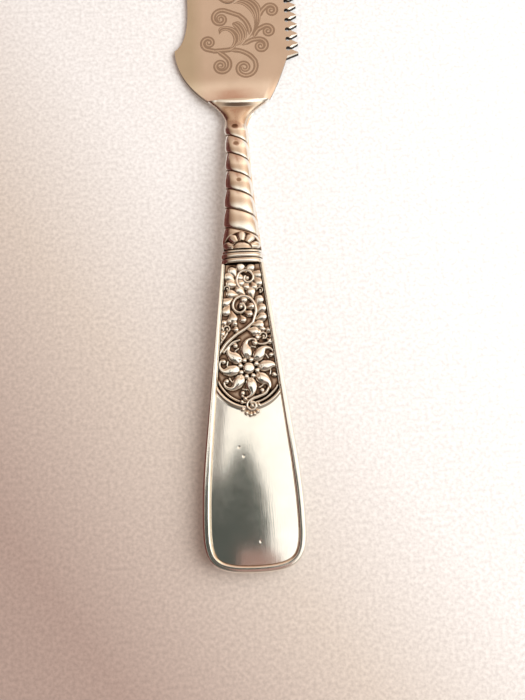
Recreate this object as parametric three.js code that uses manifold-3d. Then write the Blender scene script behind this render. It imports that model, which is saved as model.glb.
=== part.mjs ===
// A silver serving knife. The saw-toothed blade carries a tang that runs through a twisted stem and a
// ringed collar into a handle of two struck shells with a hard filling between them.
// Millimetres, +Z up. The knife lies face up: +Y runs from the butt to the tip, the teeth face +X.
import * as THREE from "three";
import { mergeVertices } from "three/addons/utils/BufferGeometryUtils.js";
import Module from "manifold-3d";

const wasm = await Module();
wasm.setup();

// Clearance left at every soldered or cemented joint
const SOLDER_GAP = 0.15;

// Handle shells: plan
const HANDLE_LENGTH = 75.5;
const BUTT_WIDTH = 25;
const BUTT_SHOULDER = 10.5;
const BUTT_SQUARENESS = 0.8;
const TAPER_START = 30;
const TAPER_START_WIDTH = 22.4;
const NECK_WIDTH = 10.9;

// Handle shells: heights above and below the seam between them
const BORDER_RISE = 2.8;
const PANEL_RISE = 2.1;
const PANEL_CROWN = 0.2;
const GROUND_RECESS = 0.45;
const BACK_DEPTH = 2.6;
const BORDER_WIDTH = 2;
const NECK_BORDER_WIDTH = 1;
const BORDER_TAPER_START = 25;
const BACK_EDGE = 1.8;
const GROUND_MARGIN = 0.2;
const GROUND_END_WIDTH = 0.1;
const SHELL_WALL = 0.8;
const UPRIGHT_SHARE = 0.3;

// Arch of the knife seen from the side
const ARCH_START = 14;
const ARCH_TOP = 92;
const ARCH_RISE = 3;

// Collar and its two wire rings
const RING_WIDTH = 1.2;
const RING_WIRE = 0.75;
const FLANGE_LENGTH = 0.65;
const FLANGE_STEP = 0.45;
const COLLAR_CORE_WIDTH = 9.2;
const COLLAR_CORE_HEIGHT = 4.9;
const COLLAR_FULLNESS = 2.4;

// Twisted stem and the palm that spreads to the blade
const STEM_LENGTH = 42.35;
const STEM_ROOT_WIDTH = 9.3;
const STEM_NECK_WIDTH = 5.4;
const STEM_ROOT_HEIGHT = 5.4;
const STEM_NECK_HEIGHT = 4.2;
const STEM_TAPER_POWER = 1.7;
const STEM_FULLNESS = 2.2;
const PALM_LEFT = 7.1;
const PALM_RIGHT = 9.2;
const PALM_HEIGHT = 2.5;
const PALM_FULLNESS = 4.2;
const PALM_FLARE_LENGTH = 9.7;
const PALM_FLARE_POWER = 4.2;
const PALM_LEFT_SWELL = 1.4;
const PALM_RIGHT_SWELL = 2.6;
const LAST_LIP_TO_CREST = 12.7;
const STRAND_PITCH = 5.2;
const STRAND_DEPTH = 0.5;

// Half daisy on the root of the stem
const DAISY_PETALS = 5;
const DAISY_PETAL_LENGTH = 2.2;
const DAISY_PETAL_WIDTH = 1.5;
const DAISY_EYE_RADIUS = 1.9;
const DAISY_RISE = 0.5;
const DAISY_SQUASH = 0.85;
const DAISY_LOWEST_PETAL = 21;

// Blade
const BLADE_LENGTH = 144;
const BLADE_THICKNESS = 1.3;
const HEEL_RISE = 1.4;
const HEEL_RAMP = 9.5;
const BACK_REACH = 11.75;
const SPUR_REACH = 15.6;
const SPUR_FROM_CREST = 15.6;
const SPUR_NOTCH_LENGTH = 13;
const SPUR_HOOK = 2.1;
const HEEL_BULGE = 0.5;
const TOOTH_REACH = 17.7;
const TOOTH_DEPTH = 3.3;
const TOOTH_PITCH = 2.78;
const TOOTH_TIP = 0.4;
const TOOTH_POINT_LENGTH = 1.7;
const THROAT_WIDTH = 0.7;
const GULLET_RADIUS = 0.6;
const FIRST_TOOTH_FROM_CREST = 12.2;
const TOOTHED_LENGTH = 106;
const TIP_SWEEP = 62;
const TIP_OFFSET = 6.5;
const TIP_FULLNESS = 5.2;

// Tang, part of the blade
const TANG_WIDTH = 3.4;
const TANG_IN_HANDLE = 43.2;

// Ornament on the recessed ground, measured from the collar end of the handle
const ORNAMENT_RISE = 0.6;
const ROSETTE_FROM_COLLAR = 26.2;
const ROSETTE_BOSS_RADIUS = 1.35;
const BEAD_RADIUS = 0.5;
const BEAD_CIRCLE = 2.15;
const PETAL_COUNT = 8;
const PETAL_TURN = 5;
// Petal from its fat end to its curled tail: reach from the boss, swing in degrees, radius
const PETAL_SPINE = [[3.1, 0, 0.7], [3.6, 0, 1.15], [4.4, 1, 1.2], [5.2, 2, 0.9], [6.1, 1, 0.6],
  [6.9, -4, 0.45], [7.3, -12, 0.4], [7.1, -20, 0.45], [6.6, -23, 0.4]];
const FIELD_BOTTOM_FROM_ROSETTE = 9.4;
const THREAD_RADIUS = 0.35;
const THREAD_SPACING = 1.2;
const THREAD_SPREAD = 80;
const SCROLL_RADIUS = 0.4;
const SCROLL_TIGHTNESS = 0.2;
const SCROLL_END_SHARE = 0.6;
const SCROLL_FOOT_RISE = 3.2;
const SCROLL_BEND = { x: -2.7, rise: 8.2 };
const LOWER_SCROLL = { x: -0.85, fromCollar: 10.7, radius: 4.0, start: -30, end: 540 };
const UPPER_SCROLL = { x: 1, fromCollar: 3.55, radius: 3.2, start: 228, end: -300 };
const LOWER_LEAVES = { count: 11, start: -67, end: 228, startReach: 6.5, endReach: 3.2 };
const UPPER_LEAVES = { count: 7, start: 202, end: -15, startReach: 3.9, endReach: 2.7 };
const LEAF_LENGTH = 2.3;
const LEAF_WIDTH = 1.5;
const FLOWERS = [{ x: -4.4, fromCollar: 16.3 }, { x: 4.4, fromCollar: 18.4 }];
const FLOWER_PETALS = 6;
const FLOWER_CIRCLE = 1.45;
const FLOWER_PETAL_LENGTH = 1.5;

// Facets
const STEM_SIDES = 28;
const RING_SIDES = 40;
const RIDGE_SIDES = 6;
const RIDGE_STEEPNESS = 1.4;
const SPIRAL_STEP = 20;
const TAPER_RIBS = 10;
const FLANK_RIBS = 5;
const CORNER_RIBS = 9;
const BAR_STEP = 3;
const BEAD_SIDES = 8;
const BEAD_ROWS = 5;
const BLADE_CURVE_STEPS = 6;
const HEEL_EDGE_STEPS = 4;
const HEEL_RAMP_STEPS = 8;
const PALM_STEPS = 9;
const GROUND_END_STEPS = 7;
const GROUND_SIDE_STEPS = 8;
const THREAD_STEPS = 24;
const SLIVER = 0.01;
const WELD = 1e-3;
const FINE_WELD = 1e-4;

// Stations along the knife, from the butt
const NECK_STATION = HANDLE_LENGTH;
const COLLAR_START = NECK_STATION + SOLDER_GAP;
const REAR_RING_START = COLLAR_START + SOLDER_GAP;
const FRONT_RING_START = REAR_RING_START + RING_WIDTH + SOLDER_GAP;
const FLANGE_START = FRONT_RING_START + RING_WIDTH + SOLDER_GAP;
const COLLAR_END = FLANGE_START + FLANGE_LENGTH;
const STEM_START = COLLAR_END + SOLDER_GAP;
const CREST = STEM_START + STEM_LENGTH;
const HEEL_START = CREST + SOLDER_GAP;
const PLATE_START = HEEL_START + HEEL_RAMP;
const TIP = CREST + BLADE_LENGTH;
const TANG_END = NECK_STATION - TANG_IN_HANDLE;
const ROSETTE = NECK_STATION - ROSETTE_FROM_COLLAR;
const GROUND_RISE = PANEL_RISE - GROUND_RECESS;
const ORNAMENT_ROOT = (SHELL_WALL - GROUND_RECESS) / 2;

// Height of the seam, tang and blade sheet at a station
function midline(station) {
  const sheet = BLADE_THICKNESS / 2;
  if (station >= HEEL_START) {
    return sheet + HEEL_RISE * (1 - THREE.MathUtils.smoothstep(station, HEEL_START, PLATE_START));
  }
  const fall = BACK_DEPTH + ARCH_RISE - HEEL_RISE - sheet;
  const rise = ARCH_RISE * THREE.MathUtils.smoothstep(station, ARCH_START, ARCH_TOP);
  return BACK_DEPTH + rise - fall * THREE.MathUtils.smoothstep(station, ARCH_TOP, HEEL_START);
}

function onKnife(x, station, height) {
  return new THREE.Vector3(x, station, midline(station) + height);
}

// Solids from points and triangles
function closedBody(points, triangles) {
  let geometry = new THREE.BufferGeometry().setFromPoints(points);
  geometry.setIndex(triangles.flat());
  geometry = mergeVertices(geometry, WELD);
  const index = geometry.index.array;
  const corner = (i) => new THREE.Vector3().fromBufferAttribute(geometry.attributes.position, index[i]);
  const kept = [];
  let volume = 0;
  for (let i = 0; i < index.length; i += 3) {
    const [a, b, c] = [index[i], index[i + 1], index[i + 2]];
    if (a !== b && b !== c && c !== a) {
      kept.push([a, b, c]);
      volume += corner(i).dot(corner(i + 1).cross(corner(i + 2)));
    }
  }
  geometry.setIndex(kept.map((t) => (volume < 0 ? [t[0], t[2], t[1]] : t)).flat());
  return geometry;
}

function gridTriangles(rows, columns, closed, first = 0) {
  const triangles = [];
  const wrap = closed ? columns : columns - 1;
  for (let row = 0; row + 1 < rows; row += 1) {
    for (let column = 0; column < wrap; column += 1) {
      const next = (column + 1) % columns;
      const a = first + row * columns + column;
      const b = first + row * columns + next;
      triangles.push([a, a + columns, b + columns], [a, b + columns, b]);
    }
  }
  return triangles;
}

// Rings of equal length joined into one solid with fanned ends
function loft(rings) {
  const sides = rings[0].length;
  const points = rings.flat();
  const triangles = gridTriangles(rings.length, sides, true);
  const lastRing = (rings.length - 1) * sides;
  for (const [ring, offset] of [[rings[0], 0], [rings.at(-1), lastRing]]) {
    const centre = ring.reduce((sum, p) => sum.add(p), new THREE.Vector3()).divideScalar(sides);
    points.push(centre);
    for (let side = 0; side < sides; side += 1) {
      const a = offset + side;
      const b = offset + ((side + 1) % sides);
      triangles.push(offset === 0 ? [points.length - 1, a, b] : [points.length - 1, b, a]);
    }
  }
  return closedBody(points, triangles);
}

function manifold(geometry) {
  const plain = geometry.clone();
  plain.deleteAttribute("normal");
  plain.deleteAttribute("uv");
  const merged = mergeVertices(plain, FINE_WELD);
  const vertProperties = new Float32Array(merged.attributes.position.array);
  const triVerts = new Uint32Array(merged.index.array);
  return new wasm.Manifold(new wasm.Mesh({ numProp: 3, vertProperties, triVerts }));
}

function geometryOf(body) {
  const mesh = body.simplify(SLIVER).getMesh();
  const geometry = new THREE.BufferGeometry();
  geometry.setAttribute("position", new THREE.Float32BufferAttribute(mesh.vertProperties, 3));
  geometry.setIndex(Array.from(mesh.triVerts));
  return geometry;
}

function join(first, ...others) {
  return geometryOf(others.reduce((all, one) => all.add(manifold(one)), manifold(first)));
}

function cut(first, tool) {
  return geometryOf(manifold(first).subtract(manifold(tool)));
}

// Sections
function ovalPoint(halfWidth, halfHeight, fullness, angle) {
  const bend = (value) => Math.sign(value) * Math.abs(value) ** (2 / fullness);
  return [halfWidth * bend(Math.cos(angle)), halfHeight * bend(Math.sin(angle))];
}

const turnOf = (side, sides) => (2 * Math.PI * side) / sides;

// A flat bar along the midline, as wide as left and right say at each station
function bar(stations, left, right, bottom, top) {
  return loft(stations.map((station) => [
    onKnife(right(station), station, bottom),
    onKnife(right(station), station, top),
    onKnife(left(station), station, top),
    onKnife(left(station), station, bottom),
  ]));
}

function steps(from, to, count) {
  return Array.from({ length: count + 1 }, (_, i) => from + ((to - from) * i) / count);
}

// A block that squares off a body between two stations
function endBlock(from, to, width, height) {
  return bar([from, to], () => -width / 2, () => width / 2, -height, height);
}

function tangBar(from, to, gap) {
  const half = TANG_WIDTH / 2 + gap;
  const depth = BLADE_THICKNESS / 2 + gap;
  return bar(steps(from, to, Math.ceil((to - from) / BAR_STEP)), () => -half, () => half, -depth, depth);
}

// Blade
function bow(start, middle, end, share) {
  return start * (1 - share) ** 2 + 2 * middle * share * (1 - share) + end * share ** 2;
}

const spurStation = CREST + SPUR_FROM_CREST;
const toothStart = CREST + FIRST_TOOTH_FROM_CREST;
const gulletReach = TOOTH_REACH - TOOTH_DEPTH;

function heelLeft(station) {
  return -bow(PALM_LEFT, SPUR_REACH, SPUR_REACH, (station - CREST) / SPUR_FROM_CREST);
}

function heelRight(station) {
  const bulge = (PALM_RIGHT + gulletReach) / 2 + HEEL_BULGE;
  return bow(PALM_RIGHT, bulge, gulletReach, (station - CREST) / FIRST_TOOTH_FROM_CREST);
}

function blade() {
  const outline = new THREE.Shape();
  outline.moveTo(heelLeft(PLATE_START), PLATE_START);
  for (const station of steps(PLATE_START, toothStart, HEEL_EDGE_STEPS)) {
    outline.lineTo(heelRight(station), station);
  }
  const teeth = Math.floor(TOOTHED_LENGTH / TOOTH_PITCH);
  const edgeReach = TOOTH_REACH - TOOTH_POINT_LENGTH;
  const halfThroat = THROAT_WIDTH / 2;
  const opening = Math.asin(halfThroat / GULLET_RADIUS);
  for (let tooth = 0; tooth < teeth; tooth += 1) {
    const middle = toothStart + (tooth + 0.5) * TOOTH_PITCH;
    const gullet = toothStart + (tooth + 1) * TOOTH_PITCH;
    outline.lineTo(TOOTH_REACH, middle - TOOTH_TIP / 2);
    outline.lineTo(TOOTH_REACH, middle + TOOTH_TIP / 2);
    outline.lineTo(edgeReach, gullet - halfThroat);
    outline.absarc(gulletReach + GULLET_RADIUS, gullet, GULLET_RADIUS, -opening, opening, true);
    outline.lineTo(edgeReach, gullet + halfThroat);
  }
  const edgeEnd = toothStart + teeth * TOOTH_PITCH + halfThroat;
  const sweepStart = TIP - TIP_SWEEP;
  outline.bezierCurveTo(edgeReach, (edgeEnd + TIP) / 2, TIP_OFFSET + TIP_FULLNESS, TIP, TIP_OFFSET, TIP);
  outline.bezierCurveTo(
    TIP_OFFSET - 2 * TIP_FULLNESS, TIP, -BACK_REACH, (sweepStart + TIP) / 2, -BACK_REACH, sweepStart,
  );
  outline.lineTo(-BACK_REACH, spurStation + SPUR_NOTCH_LENGTH);
  outline.quadraticCurveTo(-BACK_REACH, spurStation + SPUR_HOOK, -SPUR_REACH, spurStation);
  for (const station of steps(spurStation, PLATE_START, HEEL_EDGE_STEPS).slice(1, -1)) {
    outline.lineTo(heelLeft(station), station);
  }
  outline.closePath();
  const plate = new THREE.ExtrudeGeometry(outline, {
    depth: BLADE_THICKNESS, bevelEnabled: false, curveSegments: BLADE_CURVE_STEPS,
  });
  const half = BLADE_THICKNESS / 2;
  const heel = bar(steps(HEEL_START, PLATE_START, HEEL_RAMP_STEPS), heelLeft, heelRight, -half, half);
  return join(plate, heel, tangBar(TANG_END, HEEL_START + HEEL_RAMP / 2, 0));
}

// Stem
const lastLip = CREST - LAST_LIP_TO_CREST;
const strandTurns = Math.ceil((STEM_LENGTH - LAST_LIP_TO_CREST) / STRAND_PITCH) + 1;
const neckStart = lastLip + STRAND_PITCH;
const flareStart = CREST - PALM_FLARE_LENGTH;

// Height of a strand across one pitch, counted from its lip: a full round lip, then a long fall
const STRAND_PROFILE = [[0, 0.05], [0.08, 0.6], [0.3, 1], [0.6, 0.72], [0.85, 0.32], [1, 0.05]];

// How far a strand has climbed round the stem: evenly across the width, front and back
function windShare(angle) {
  const climb = (1 - Math.cos(angle)) / 4;
  return angle <= Math.PI ? climb : 1 - climb;
}

function strandHeight(station, angle) {
  const turns = (station - lastLip) / STRAND_PITCH - windShare(angle) + strandTurns;
  const share = turns >= strandTurns ? turns - strandTurns : turns % 1;
  for (let i = 1; i < STRAND_PROFILE.length; i += 1) {
    const [before, low] = STRAND_PROFILE[i - 1];
    const [after, high] = STRAND_PROFILE[i];
    if (share <= after) {
      const blend = (Math.max(share, before) - before) / (after - before);
      return STRAND_DEPTH * THREE.MathUtils.lerp(low, high, blend);
    }
  }
  return 0;
}

function stemSection(station, angle) {
  const toRoot = Math.max(0, (lastLip - station) / (lastLip - STEM_START)) ** STEM_TAPER_POWER;
  const toCrest = Math.max(0, (station - flareStart) / PALM_FLARE_LENGTH);
  const spread = toCrest ** PALM_FLARE_POWER;
  const relief = strandHeight(station, angle);
  const [palm, swell] = Math.cos(angle) < 0 ? [PALM_LEFT, PALM_LEFT_SWELL] : [PALM_RIGHT, PALM_RIGHT_SWELL];
  const reach = (STEM_NECK_WIDTH + (STEM_ROOT_WIDTH - STEM_NECK_WIDTH) * toRoot) / 2
    + (palm - STEM_NECK_WIDTH / 2) * spread * (1 + swell * (1 - toCrest));
  const height = STEM_NECK_HEIGHT + (STEM_ROOT_HEIGHT - STEM_NECK_HEIGHT) * toRoot
    + (PALM_HEIGHT - STEM_NECK_HEIGHT) * THREE.MathUtils.smoothstep(toCrest, 0, 1);
  const fullness = THREE.MathUtils.lerp(STEM_FULLNESS, PALM_FULLNESS, spread);
  return ovalPoint(reach + relief, height / 2 + relief, fullness, angle);
}

function stemStations(angle) {
  const stations = [STEM_START];
  for (let turn = 1 - strandTurns; turn <= 0; turn += 1) {
    const lip = lastLip + STRAND_PITCH * (turn + windShare(angle));
    for (const [share] of STRAND_PROFILE.slice(0, -1)) {
      stations.push(THREE.MathUtils.clamp(lip + share * STRAND_PITCH, STEM_START, neckStart));
    }
  }
  return stations.concat(steps(neckStart, CREST, PALM_STEPS));
}

function stemBody() {
  const columns = Array.from({ length: STEM_SIDES }, (_, side) => {
    const angle = turnOf(side, STEM_SIDES);
    return stemStations(angle).map((station) => {
      const [x, height] = stemSection(station, angle);
      return onKnife(x, station, height);
    });
  });
  return loft(columns[0].map((_, row) => columns.map((column) => column[row])));
}

// A low dome, longer one way, rooted in the front of the knife
function dome(x, station, base, length, width, rise, heading, root = ORNAMENT_ROOT) {
  const body = new THREE.SphereGeometry(1, BEAD_SIDES, BEAD_ROWS);
  body.rotateX(Math.PI / 2);
  body.scale(length / 2, width / 2, rise);
  const { position } = body.attributes;
  for (let i = 0; i < position.count; i += 1) {
    position.setZ(i, Math.max(position.getZ(i), -root));
  }
  body.rotateZ(heading);
  body.translate(x, station, midline(station) + base);
  return body;
}

// Height of the stem's root above the midline, across its width
function rootTop(x) {
  const share = Math.min(1, Math.abs((2 * x) / STEM_ROOT_WIDTH));
  return (STEM_ROOT_HEIGHT / 2) * Math.sqrt(1 - share ** 2);
}

function halfDaisy() {
  const foot = STEM_START + DAISY_RISE;
  const eye = dome(0, foot, rootTop(0), 2 * DAISY_EYE_RADIUS, DAISY_EYE_RADIUS, DAISY_RISE, 0);
  const reach = DAISY_EYE_RADIUS + DAISY_PETAL_LENGTH / 2;
  const petals = steps(DAISY_LOWEST_PETAL, 180 - DAISY_LOWEST_PETAL, DAISY_PETALS - 1).map((degrees) => {
    const heading = THREE.MathUtils.degToRad(degrees);
    const x = Math.cos(heading) * reach;
    const station = foot + Math.sin(heading) * reach * DAISY_SQUASH;
    const base = rootTop(x) + STRAND_DEPTH / 2;
    return dome(x, station, base, DAISY_PETAL_LENGTH, DAISY_PETAL_WIDTH, DAISY_RISE, heading, DAISY_RISE);
  });
  return [eye, ...petals];
}

function stem() {
  const bore = tangBar(STEM_START - SOLDER_GAP, CREST + SOLDER_GAP, SOLDER_GAP);
  const behind = endBlock(STEM_START - DAISY_EYE_RADIUS, STEM_START, STEM_ROOT_WIDTH, STEM_ROOT_HEIGHT);
  return cut(cut(join(stemBody(), ...halfDaisy()), bore), behind);
}

// Collar and rings
function collarRing(station, halfWidth, halfHeight) {
  return Array.from({ length: RING_SIDES }, (_, side) => {
    const [x, height] = ovalPoint(halfWidth, halfHeight, COLLAR_FULLNESS, turnOf(side, RING_SIDES));
    return onKnife(x, station, height);
  });
}

// A ring of the collar's core, grown outward by a step
function coreRing(station, step) {
  return collarRing(station, COLLAR_CORE_WIDTH / 2 + step, COLLAR_CORE_HEIGHT / 2 + step);
}

function collar() {
  const sleeve = loft([
    coreRing(COLLAR_START, 0),
    coreRing(FLANGE_START, 0),
    coreRing(FLANGE_START, FLANGE_STEP),
    coreRing(COLLAR_END, FLANGE_STEP),
  ]);
  return cut(sleeve, tangBar(COLLAR_START - SOLDER_GAP, COLLAR_END + SOLDER_GAP, SOLDER_GAP));
}

// A half-round wire bent round the collar's core
function wireRing(start) {
  const section = [[0, SOLDER_GAP], [0, 0.7 * RING_WIRE], [0.25, 0.93 * RING_WIRE], [0.5, RING_WIRE],
    [0.75, 0.93 * RING_WIRE], [1, 0.7 * RING_WIRE], [1, SOLDER_GAP]];
  const rings = section.map(([along, out]) => coreRing(start + along * RING_WIDTH, out));
  const triangles = gridTriangles(section.length + 1, RING_SIDES, true);
  return closedBody([...rings, rings[0]].flat(), triangles);
}

// Handle plan: the right half, from the collar end round to the middle of the butt
function handleEdge() {
  const taper = new THREE.LineCurve(
    new THREE.Vector2(NECK_WIDTH / 2, NECK_STATION),
    new THREE.Vector2(TAPER_START_WIDTH / 2, TAPER_START),
  );
  const slope = (TAPER_START_WIDTH - NECK_WIDTH) / 2 / (NECK_STATION - TAPER_START);
  const lean = (TAPER_START - BUTT_SHOULDER) / 3;
  const flank = new THREE.CubicBezierCurve(
    taper.v2,
    new THREE.Vector2(TAPER_START_WIDTH / 2 + slope * lean, TAPER_START - lean),
    new THREE.Vector2(BUTT_WIDTH / 2, BUTT_SHOULDER + lean),
    new THREE.Vector2(BUTT_WIDTH / 2, BUTT_SHOULDER),
  );
  const corner = new THREE.CubicBezierCurve(
    flank.v3,
    new THREE.Vector2(BUTT_WIDTH / 2, BUTT_SHOULDER * (1 - BUTT_SQUARENESS)),
    new THREE.Vector2((BUTT_WIDTH / 2) * BUTT_SQUARENESS, 0),
    new THREE.Vector2(0, 0),
  );
  const edge = [];
  for (const [curve, count] of [[taper, TAPER_RIBS], [flank, FLANK_RIBS], [corner, CORNER_RIBS]]) {
    for (let i = edge.length === 0 ? 0 : 1; i <= count; i += 1) {
      const tangent = curve.getTangent(i / count);
      const inward = new THREE.Vector2(tangent.y, -tangent.x);
      edge.push({ at: curve.getPoint(i / count), inward });
    }
  }
  edge[0].inward.set(-1 / Math.abs(edge[0].inward.x), 0);
  return edge;
}

// The border narrows toward the collar end
function borderShare(station) {
  const share = Math.max(0, (station - BORDER_TAPER_START) / (NECK_STATION - BORDER_TAPER_START));
  return THREE.MathUtils.lerp(1, NECK_BORDER_WIDTH / BORDER_WIDTH, share);
}

// One half of the handle from a chain of [inset, height, reach, tapers] round its wall, axis to axis;
// reach 0 lies on the axis and 1 on the inset outline, and an inset that tapers follows the border
function handleBody(chain) {
  const edge = handleEdge();
  const points = [];
  const triangles = [];
  for (const side of [1, -1]) {
    const first = points.length;
    for (const { at, inward } of edge) {
      for (const [inset, height, reach, tapers] of chain) {
        const shift = tapers ? inset * borderShare(at.y) : inset;
        const spot = at.clone().addScaledVector(inward, shift);
        points.push(onKnife(side * spot.x * reach, spot.y, height));
      }
    }
    const sheet = gridTriangles(edge.length, chain.length, false, first);
    for (let i = 0; i + 1 < chain.length / 2; i += 1) {
      const [a, b] = [first + i, first + i + 1];
      const [c, d] = [first + chain.length - 2 - i, first + chain.length - 1 - i];
      sheet.push([a, b, c], [a, c, d]);
    }
    triangles.push(...(side > 0 ? sheet : sheet.map(([a, b, c]) => [a, c, b])));
  }
  return closedBody(points, triangles);
}

// Struck front: outer skin from the seam over the border to the panel, and the inner skin under it
const FRONT_SKIN = [[0, SOLDER_GAP / 2, 1], [0, UPRIGHT_SHARE * BORDER_RISE, 1],
  [0.18 * BORDER_WIDTH, 0.76 * BORDER_RISE, 1], [0.48 * BORDER_WIDTH, BORDER_RISE, 1],
  [0.8 * BORDER_WIDTH, (BORDER_RISE + PANEL_RISE) / 2, 1],
  [BORDER_WIDTH, PANEL_RISE, 1], [BORDER_WIDTH, PANEL_RISE + 0.75 * PANEL_CROWN, 0.5],
  [BORDER_WIDTH, PANEL_RISE + PANEL_CROWN, 0]].map((entry) => [...entry, true]);
const BACK_SKIN = [[0, -SOLDER_GAP / 2, 1], [0, -UPRIGHT_SHARE * BACK_DEPTH, 1],
  [0.25 * BACK_EDGE, -0.7 * BACK_DEPTH, 1], [0.6 * BACK_EDGE, -0.92 * BACK_DEPTH, 1],
  [BACK_EDGE, -BACK_DEPTH, 1], [BACK_EDGE, -BACK_DEPTH, 0]];

// The inside of a skin: a flat ceiling under the panel, and a sloped side that clears the border
function insideSkin(ceiling, edge, gap, columns) {
  const seam = (Math.sign(ceiling) * SOLDER_GAP) / 2;
  const wall = SHELL_WALL + gap;
  const inside = [[wall, seam, 1], [wall, UPRIGHT_SHARE * ceiling, 1], [edge + gap, ceiling, 1]];
  for (let column = columns; column >= 0; column -= 1) {
    inside.push([edge + gap, ceiling, column / (columns + 1)]);
  }
  return inside;
}

const frontCeiling = PANEL_RISE - SHELL_WALL;
const backCeiling = SHELL_WALL - BACK_DEPTH;

// The panel's recessed ground: as wide as the border leaves, with a half-oval lower end
function groundHalfWidth(station) {
  const slope = (TAPER_START_WIDTH - NECK_WIDTH) / 2 / (NECK_STATION - TAPER_START);
  const inBorder = NECK_WIDTH / 2 + slope * (NECK_STATION - station)
    - BORDER_WIDTH * borderShare(station) - GROUND_MARGIN;
  const below = Math.max(0, (ROSETTE - station) / FIELD_BOTTOM_FROM_ROSETTE);
  return Math.max(GROUND_END_WIDTH / 2, inBorder * Math.sqrt(Math.max(0, 1 - below ** 2)));
}

function groundCutter() {
  const oval = steps(0, 90, GROUND_END_STEPS).map((degrees) => (
    ROSETTE - FIELD_BOTTOM_FROM_ROSETTE * Math.cos(THREE.MathUtils.degToRad(degrees))
  ));
  const sides = steps(ROSETTE, NECK_STATION, GROUND_SIDE_STEPS).slice(1);
  const stations = [...oval, ...sides, NECK_STATION + SOLDER_GAP];
  return bar(stations, (s) => -groundHalfWidth(s), groundHalfWidth, GROUND_RISE, BORDER_RISE + PANEL_CROWN);
}

// A rounded ridge along plan points, each [x, station, radius]
function ridge(path) {
  const rings = path.map(([x, station, radius], i) => {
    const [fromX, fromStation] = path[Math.max(0, i - 1)];
    const [toX, toStation] = path[Math.min(path.length - 1, i + 1)];
    const across = new THREE.Vector2(fromStation - toStation, toX - fromX).normalize();
    return Array.from({ length: RIDGE_SIDES }, (_, side) => {
      const angle = turnOf(side + 0.5, RIDGE_SIDES);
      const out = radius * Math.cos(angle);
      const rise = Math.min(radius * RIDGE_STEEPNESS, ORNAMENT_RISE);
      const height = Math.max(rise * Math.sin(angle), -ORNAMENT_ROOT);
      return onKnife(x + across.x * out, station + across.y * out, GROUND_RISE + height);
    });
  });
  return loft(rings);
}

const bead = (x, station, radius) => dome(x, station, GROUND_RISE, 2 * radius, 2 * radius, ORNAMENT_RISE, 0);

function polar(centre, reach, degrees) {
  const angle = THREE.MathUtils.degToRad(degrees);
  return [centre.x + reach * Math.cos(angle), centre.station + reach * Math.sin(angle)];
}

const anchor = ({ x, fromCollar }) => ({ x, station: NECK_STATION - fromCollar });

function spiral(scroll) {
  const count = Math.round(Math.abs(scroll.end - scroll.start) / SPIRAL_STEP);
  return steps(scroll.start, scroll.end, count).map((degrees) => {
    const turned = Math.abs(THREE.MathUtils.degToRad(degrees - scroll.start));
    const reach = scroll.radius * Math.exp(-SCROLL_TIGHTNESS * turned);
    const radius = SCROLL_RADIUS * THREE.MathUtils.lerp(SCROLL_END_SHARE, 1, reach / scroll.radius);
    return [...polar(anchor(scroll), reach, degrees), radius];
  });
}

function leaves(scroll, set) {
  return steps(0, 1, set.count - 1).map((share) => {
    const degrees = THREE.MathUtils.lerp(set.start, set.end, share);
    const reach = THREE.MathUtils.lerp(set.startReach, set.endReach, share);
    const [x, station] = polar(anchor(scroll), reach, degrees);
    const heading = THREE.MathUtils.degToRad(degrees);
    return dome(x, station, GROUND_RISE, LEAF_LENGTH, LEAF_WIDTH, ORNAMENT_RISE, heading);
  });
}

function rosette() {
  const centre = { x: 0, station: ROSETTE };
  const solids = [bead(0, ROSETTE, ROSETTE_BOSS_RADIUS)];
  for (let petal = 0; petal < PETAL_COUNT; petal += 1) {
    const turn = (360 * petal) / PETAL_COUNT;
    const between = turn + PETAL_TURN + 180 / PETAL_COUNT;
    solids.push(bead(...polar(centre, BEAD_CIRCLE, between), BEAD_RADIUS));
    solids.push(ridge(PETAL_SPINE.map(([reach, swing, radius]) => [
      ...polar(centre, reach, turn + PETAL_TURN + swing), radius,
    ])));
  }
  return solids;
}

function flower(place) {
  const centre = anchor(place);
  const solids = [bead(centre.x, centre.station, BEAD_RADIUS)];
  for (let petal = 0; petal < FLOWER_PETALS; petal += 1) {
    const turn = (360 * petal) / FLOWER_PETALS;
    const [x, station] = polar(centre, FLOWER_CIRCLE, turn);
    solids.push(dome(x, station, GROUND_RISE, FLOWER_PETAL_LENGTH, FLOWER_PETAL_LENGTH / 2, ORNAMENT_RISE,
      THREE.MathUtils.degToRad(turn)));
  }
  return solids;
}

// Two raised threads that close the ornament toward the butt
function thread(offset) {
  return ridge(steps(-THREAD_SPREAD, THREAD_SPREAD, THREAD_STEPS).map((degrees) => {
    const angle = THREE.MathUtils.degToRad(degrees);
    const x = (groundHalfWidth(ROSETTE) + offset / 2) * Math.sin(angle);
    return [x, ROSETTE - (FIELD_BOTTOM_FROM_ROSETTE + offset) * Math.cos(angle), THREAD_RADIUS];
  }));
}

function handleFront() {
  const inside = insideSkin(frontCeiling, BORDER_WIDTH, 0, FRONT_SKIN.length - 5);
  const shell = cut(handleBody([...inside.reverse(), ...FRONT_SKIN]), groundCutter());
  const scrollFoot = [-groundHalfWidth(ROSETTE), ROSETTE + SCROLL_FOOT_RISE, SCROLL_RADIUS];
  const scrollBend = [SCROLL_BEND.x, ROSETTE + SCROLL_BEND.rise, SCROLL_RADIUS];
  const ornamented = join(
    shell,
    ...rosette(),
    ridge([scrollFoot, scrollBend, ...spiral(LOWER_SCROLL)]),
    ridge(spiral(UPPER_SCROLL)),
    ...leaves(LOWER_SCROLL, LOWER_LEAVES),
    ...leaves(UPPER_SCROLL, UPPER_LEAVES),
    ...FLOWERS.flatMap(flower),
    thread(0),
    thread(THREAD_SPACING),
  );
  const beyond = endBlock(NECK_STATION, NECK_STATION + 2 * LEAF_LENGTH, NECK_WIDTH, 2 * BORDER_RISE);
  return cut(ornamented, beyond);
}

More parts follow.
